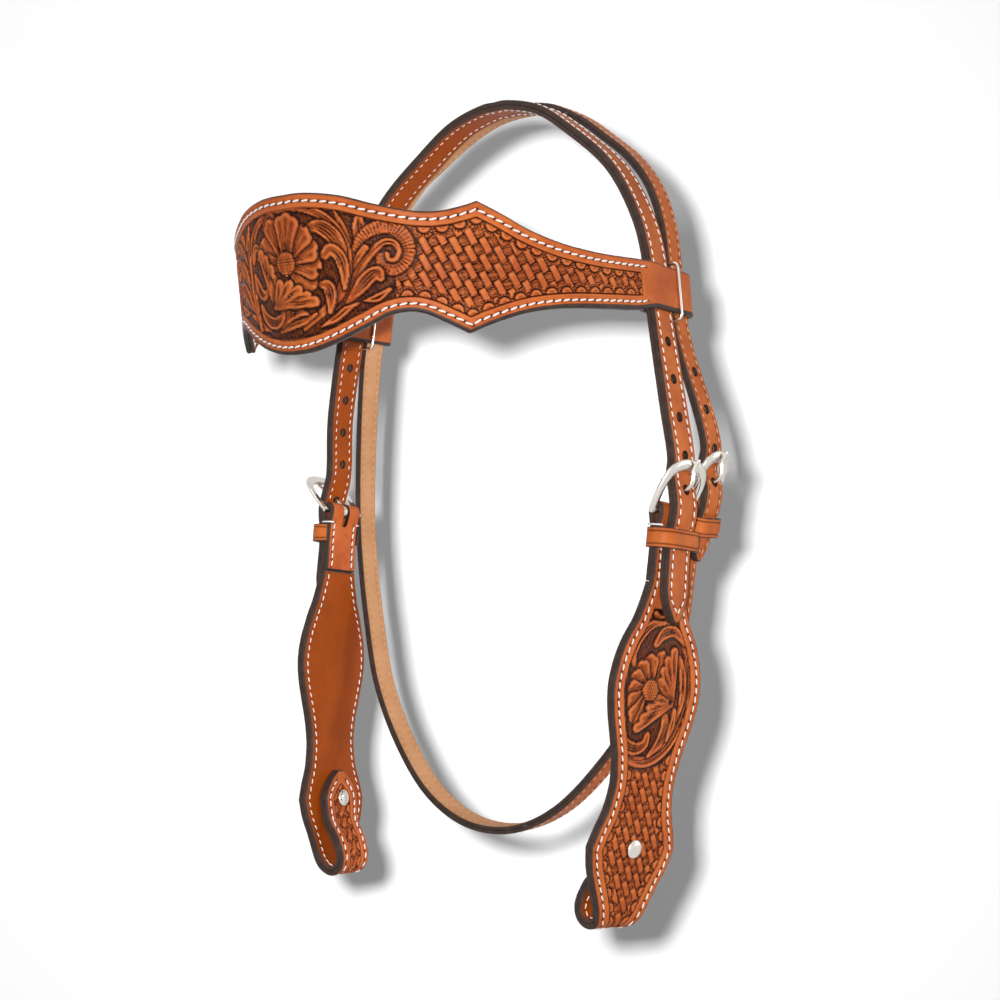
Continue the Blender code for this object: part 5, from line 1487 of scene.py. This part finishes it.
def outward(piece):
    bpy.ops.object.select_all(action="DESELECT")
    bpy.context.view_layer.objects.active = piece
    piece.select_set(True)
    bpy.ops.object.mode_set(mode="EDIT")
    bpy.ops.mesh.select_all(action="SELECT")
    bpy.ops.mesh.normals_make_consistent(inside=False)
    bpy.ops.object.mode_set(mode="OBJECT")
    piece.select_set(False)
    return piece


def makeFrame(name, barName, innerWidth, tilt):
    outer = plateOutline(innerWidth, buckle["legBand"], buckle["height"])
    inner = plateOutline(innerWidth, 0.0, buckle["height"] - buckle["topBand"])
    across = unit(outer - inner)
    verts = []
    for a, b, way in zip(inner, outer, across):
        for reach, high, edge in plateSection:
            y, z = a + way * reach if edge == "in" else b - way * reach
            verts.append((high, y, z))
    lean = math.radians(tilt)
    turned = [(x * math.cos(lean) + z * math.sin(lean), y, z * math.cos(lean) - x * math.sin(lean))
              for x, y, z in verts]
    piece = outward(meshFrom(name, atBar(barName, turned), loftFaces(len(inner), len(plateSection), False), nickel))
    turn = np.linspace(0, 2 * math.pi, 33)[:-1]
    reach = (innerWidth + buckle["legBand"]) / 2
    rod = [(buckle["bar"] * math.cos(a), y, buckle["bar"] * math.sin(a)) for y in (-reach, reach) for a in turn]
    rod = outward(meshFrom(name + "_rod", atBar(barName, rod), loftFaces(2, 32, False), nickel))
    combine([piece], rod, "UNION")
    return piece


def makeTongue(name, barName, line):
    path = Route(line)
    around = np.linspace(0, 2 * math.pi, 25)[:-1]
    verts = []
    last = path.length + 0.55
    tip = last - 1.4 * (1 - np.array([0.35, 0.62, 0.82, 0.94, 1.0]))
    places = np.concatenate([np.linspace(0, last - 1.4, 34), tip])
    for s in places:
        x, z = path.at(min(s, path.length)) + path.direction(path.length) * max(s - path.length, 0)
        dx, dz = path.direction(min(s, path.length))
        close = math.sqrt(max(1 - max(s - last + 1.4, 0) ** 2 / 1.4 ** 2, 0.02))
        thick = buckle["tongueThick"] / 2 * (1 - 0.25 * s / last) * close
        wide = buckle["tongueWidth"] / 2 * (1 - 0.10 * s / last) * close
        for a in around:
            w = math.copysign(abs(math.cos(a)) ** 0.75, math.cos(a)) * wide
            h = math.copysign(abs(math.sin(a)) ** 0.75, math.sin(a)) * thick
            verts.append((x + dz * h, w, z - dx * h))
    blade = outward(meshFrom(name, atBar(barName, verts), loftFaces(len(places), 24, False), nickel))
    section = [(0.0, 1.3), (0.2, 1.5), (1.5, 1.5), (1.7, 1.3), (1.7, -1.3), (1.5, -1.5), (0.2, -1.5), (0.0, -1.3)]
    ring = []
    for a in np.linspace(0, 2 * math.pi, 41)[:-1]:
        for out, y in section:
            reach = buckle["eye"] + out
            ring.append((reach * math.cos(a), y, reach * math.sin(a)))
    eye = outward(meshFrom(name + "_eye", atBar(barName, ring), loftFaces(40, len(section), True), nickel))
    combine([blade], eye, "UNION")
    return blade


for end, barName, look, tilt in (("near", "cheek", crown, crown["tilt"]),
                                 ("off", "cheek", crown, crown["offTilt"]),
                                 ("throat", "throat", throat, throat["tilt"])):
    label = "throatlatch" if end == "throat" else end
    plate = makeFrame("buckleFrame_" + label, barName, look["frameInside"], tilt)
    blade = makeTongue("buckleTongue_" + label, barName, blades[end])
    for item, kind in ((plate, "frame"), (blade, "tongue")):
        if end == "off":
            item.data.transform(Matrix.Scale(-1, 4, (1, 0, 0)))
            item.data.flip_normals()
        dressMetal(item, kind + "_" + label, "buckle_" + label + "_" + kind)

screw = {"head": 4.3, "rise": 1.6, "barrel": 2.2, "bore": 1.7, "shank": 1.5, "driver": 0.9}


def turnedPiece(name, profile, flip):
    mesh = bpy.data.meshes.new(name)
    edges = [(k, k + 1) for k in range(len(profile) - 1)]
    mesh.from_pydata([(x / 1000, 0, z / 1000) for x, z in profile], edges, [])
    made = bpy.data.objects.new(name, mesh)
    bpy.context.scene.collection.objects.link(made)
    mesh.materials.append(nickel)
    spin = made.modifiers.new("turned", "SCREW")
    spin.steps = spin.render_steps = 40
    spin.use_merge_vertices, spin.merge_threshold = True, 1e-6
    applied(made, spin)
    if flip:
        # The screw comes from the horse's side, with a slot for the driver.
        bpy.ops.mesh.primitive_cube_add(size=1, location=(0, 0, (profile[0][1] + 0.35) / 1000))
        groove = bpy.context.object
        groove.scale = (0.02, screw["driver"] / 1000, screw["rise"] / 1000)
        outward(made)
        combine([made], groove, "DIFFERENCE")
    turn = Matrix.Rotation(math.pi, 4, "X") if flip else Matrix.Identity(4)
    place = Matrix(screwAxis.tolist()).to_4x4()
    place.translation = Vector(screwCentre / 1000)
    made.data.transform(place @ turn)
    return outward(made)


dome = [(screw["head"] * across, screw["rise"] * rise)
        for across, rise in ((0.0, 1.0), (0.22, 0.985), (0.42, 0.935), (0.60, 0.84), (0.76, 0.69), (0.88, 0.50),
                             (0.96, 0.30), (1.0, 0.12), (0.98, 0.0))]
# From the screw's middle out to its heads, and to the post's closed end
outside = cheek["face"] + layout["gap"]
inside = 2 * innerOf(cheek) + layout["gap"] + outside
floor, gap = cheek["face"] / 2, layout["gap"]
post = [(x, z + outside) for x, z in dome]
post += [(screw["barrel"], outside), (screw["barrel"], gap - inside), (screw["bore"], gap - inside),
         (screw["bore"], floor), (0.0, floor)]
bolt = [(x, z + inside) for x, z in dome]
bolt += [(screw["shank"], inside), (screw["shank"], gap - floor), (0.0, gap - floor)]
post = dressMetal(turnedPiece("screwPost_near", post, False), "straps", "bit_screw_post_near", 30)
bolt = dressMetal(turnedPiece("screw_near", bolt, True), "screw_near", "bit_screw_near", 30)
mirroredCopy(post, "screwPost_off", "straps", "bit_screw_post_off")
mirroredCopy(bolt, "screw_off", "screw_off", "bit_screw_off")

divider = {"height": 28.3, "corner": 2.6, "solidWire": 0.9, "wire": 0.78}
clear = layout["strapPlay"] + browband["face"] + layout["gap"] + divider["solidWire"]
right, left = crown["face"] + clear, -innerOf(crown) - clear
top = divider["height"] / 2 - divider["solidWire"]
between = crown["half"] + layout["strapSpacing"] / 2
corners = [(right, top, 0), (left, top, 90), (left, -top, 180), (right, -top, 270)]
ringPoints = []
for x, z, start in corners:
    x -= math.copysign(divider["corner"], x)
    z -= math.copysign(divider["corner"], z)
    for degrees in range(0, 91, 10):
        angle = math.radians(start + degrees)
        ringPoints.append((x + divider["corner"] * math.cos(angle), between,
                           z + divider["corner"] * math.sin(angle)))
ringPoints = np.array(ringPoints) @ tabTurn.T + tabCentre
ring = wire("divider_near", ringPoints, divider["wire"], nickel, True)
register(ring, "divider_near", "satin_nickel", "browband_divider_near")
mirroredCopy(ring, "divider_off", "divider_off", "browband_divider_off")
print("metal parts made")


# The studio: a white sheet far behind, lit from the front, and the camera of the photograph

studio = {
    "eye": (0.4934, -0.6118, -0.1972), "target": (0.0, -0.0025, -0.1972), "lens": 56.45, "shiftY": 0.008,
    "sheetBehind": 0.95, "sheetSize": 4.0,
    "keySize": 0.016, "keyAside": -0.0235, "keyUp": 0.0155, "keyPower": 10.2,
    "topPower": 1.4, "sidePower": 3.0, "skyLevel": 0.10, "paperGlow": 0.02,
}


def backdropMaterial():
    # Matt paper, pale enough to be seen as plain white where no shadow falls.
    material, tree, shader = newMaterial("backdropPaper", 0.9)
    shader.inputs["Base Color"].default_value = srgb("#EDEDED")
    shader.inputs["Specular IOR Level"].default_value = 0.0
    shader.inputs["Emission Color"].default_value = srgb("#FFFFFF")
    rays = addNode(tree, "ShaderNodeLightPath")
    seen = addNode(tree, "ShaderNodeMath", {"operation": "MAXIMUM"},
                   {0: rays.outputs["Is Camera Ray"], 1: rays.outputs["Is Glossy Ray"]})
    share = addNode(tree, "ShaderNodeMath", {"operation": "MULTIPLY", 1: studio["paperGlow"]}, {0: seen.outputs[0]})
    tree.links.new(share.outputs[0], shader.inputs["Emission Strength"])
    return material


eye, target = Vector(studio["eye"]), Vector(studio["target"])
looking = (target - eye).normalized()
aside = looking.cross(Vector((0, 0, 1))).normalized()
paper = backdropMaterial()
bpy.ops.object.select_all(action="DESELECT")
bpy.ops.mesh.primitive_plane_add(size=studio["sheetSize"], location=target + looking * studio["sheetBehind"],
                                 rotation=(-looking).to_track_quat("Z", "Y").to_euler())
backSheet = bpy.context.object
backSheet.name = "backSheet"
backSheet.data.materials.append(paper)


def addLamp(name, place, power, size, steady=False):
    lamp = bpy.data.lights.new(name, "AREA")
    lamp.energy, lamp.size = power, size
    if steady:
        # As bright on the sheet as on the leather, like a lamp from far away
        lamp.use_nodes = True
        falloff = addNode(lamp.node_tree, "ShaderNodeLightFalloff", {"Strength": 1.0})
        strength = lamp.node_tree.nodes["Emission"].inputs["Strength"]
        lamp.node_tree.links.new(falloff.outputs["Constant"], strength)
    made = bpy.data.objects.new(name, lamp)
    made.location = place
    made.rotation_euler = (target - Vector(place)).to_track_quat("-Z", "Y").to_euler()
    bpy.context.scene.collection.objects.link(made)
    return made


key = eye + aside * studio["keyAside"] + Vector((0, 0, studio["keyUp"]))
addLamp("keyLamp", key, studio["keyPower"], studio["keySize"], True)
addLamp("sideLamp", target + aside * 1.1 - looking * 0.15 + Vector((0, 0, 0.1)), studio["sidePower"], 0.5, True)
addLamp("topLamp", target + aside * -0.45 - looking * 0.42 + Vector((0, 0, 0.85)), studio["topPower"], 0.5)

world = bpy.data.worlds.new("studioSky")
bpy.context.scene.world = world
world.use_nodes = True
world.node_tree.nodes["Background"].inputs["Color"].default_value = (1, 1, 1, 1)
# White to the camera and in the metal, and faint as light
skyRays = addNode(world.node_tree, "ShaderNodeLightPath")
skySeen = addNode(world.node_tree, "ShaderNodeMath", {"operation": "ADD"},
                  {0: skyRays.outputs["Is Camera Ray"], 1: skyRays.outputs["Is Glossy Ray"]})
skySeen = addNode(world.node_tree, "ShaderNodeMath", {"operation": "ADD", "use_clamp": True},
                  {0: skySeen.outputs[0], 1: skyRays.outputs["Is Transmission Ray"]})
skyShare = addNode(world.node_tree, "ShaderNodeMath", {"operation": "MAXIMUM", 1: studio["skyLevel"]},
                   {0: skySeen.outputs[0]})
world.node_tree.links.new(skyShare.outputs[0], world.node_tree.nodes["Background"].inputs["Strength"])

cameraData = bpy.data.cameras.new("camera")
cameraData.lens, cameraData.sensor_width, cameraData.shift_y = studio["lens"], 36, studio["shiftY"]
cameraData.clip_start, cameraData.clip_end = 0.01, 20
camera = bpy.data.objects.new("camera", cameraData)
camera.location = eye
camera.rotation_euler = looking.to_track_quat("-Z", "Y").to_euler()
bpy.context.scene.collection.objects.link(camera)
bpy.context.scene.camera = camera
bpy.context.scene.view_settings.view_transform = "Standard"
print("studio ready")
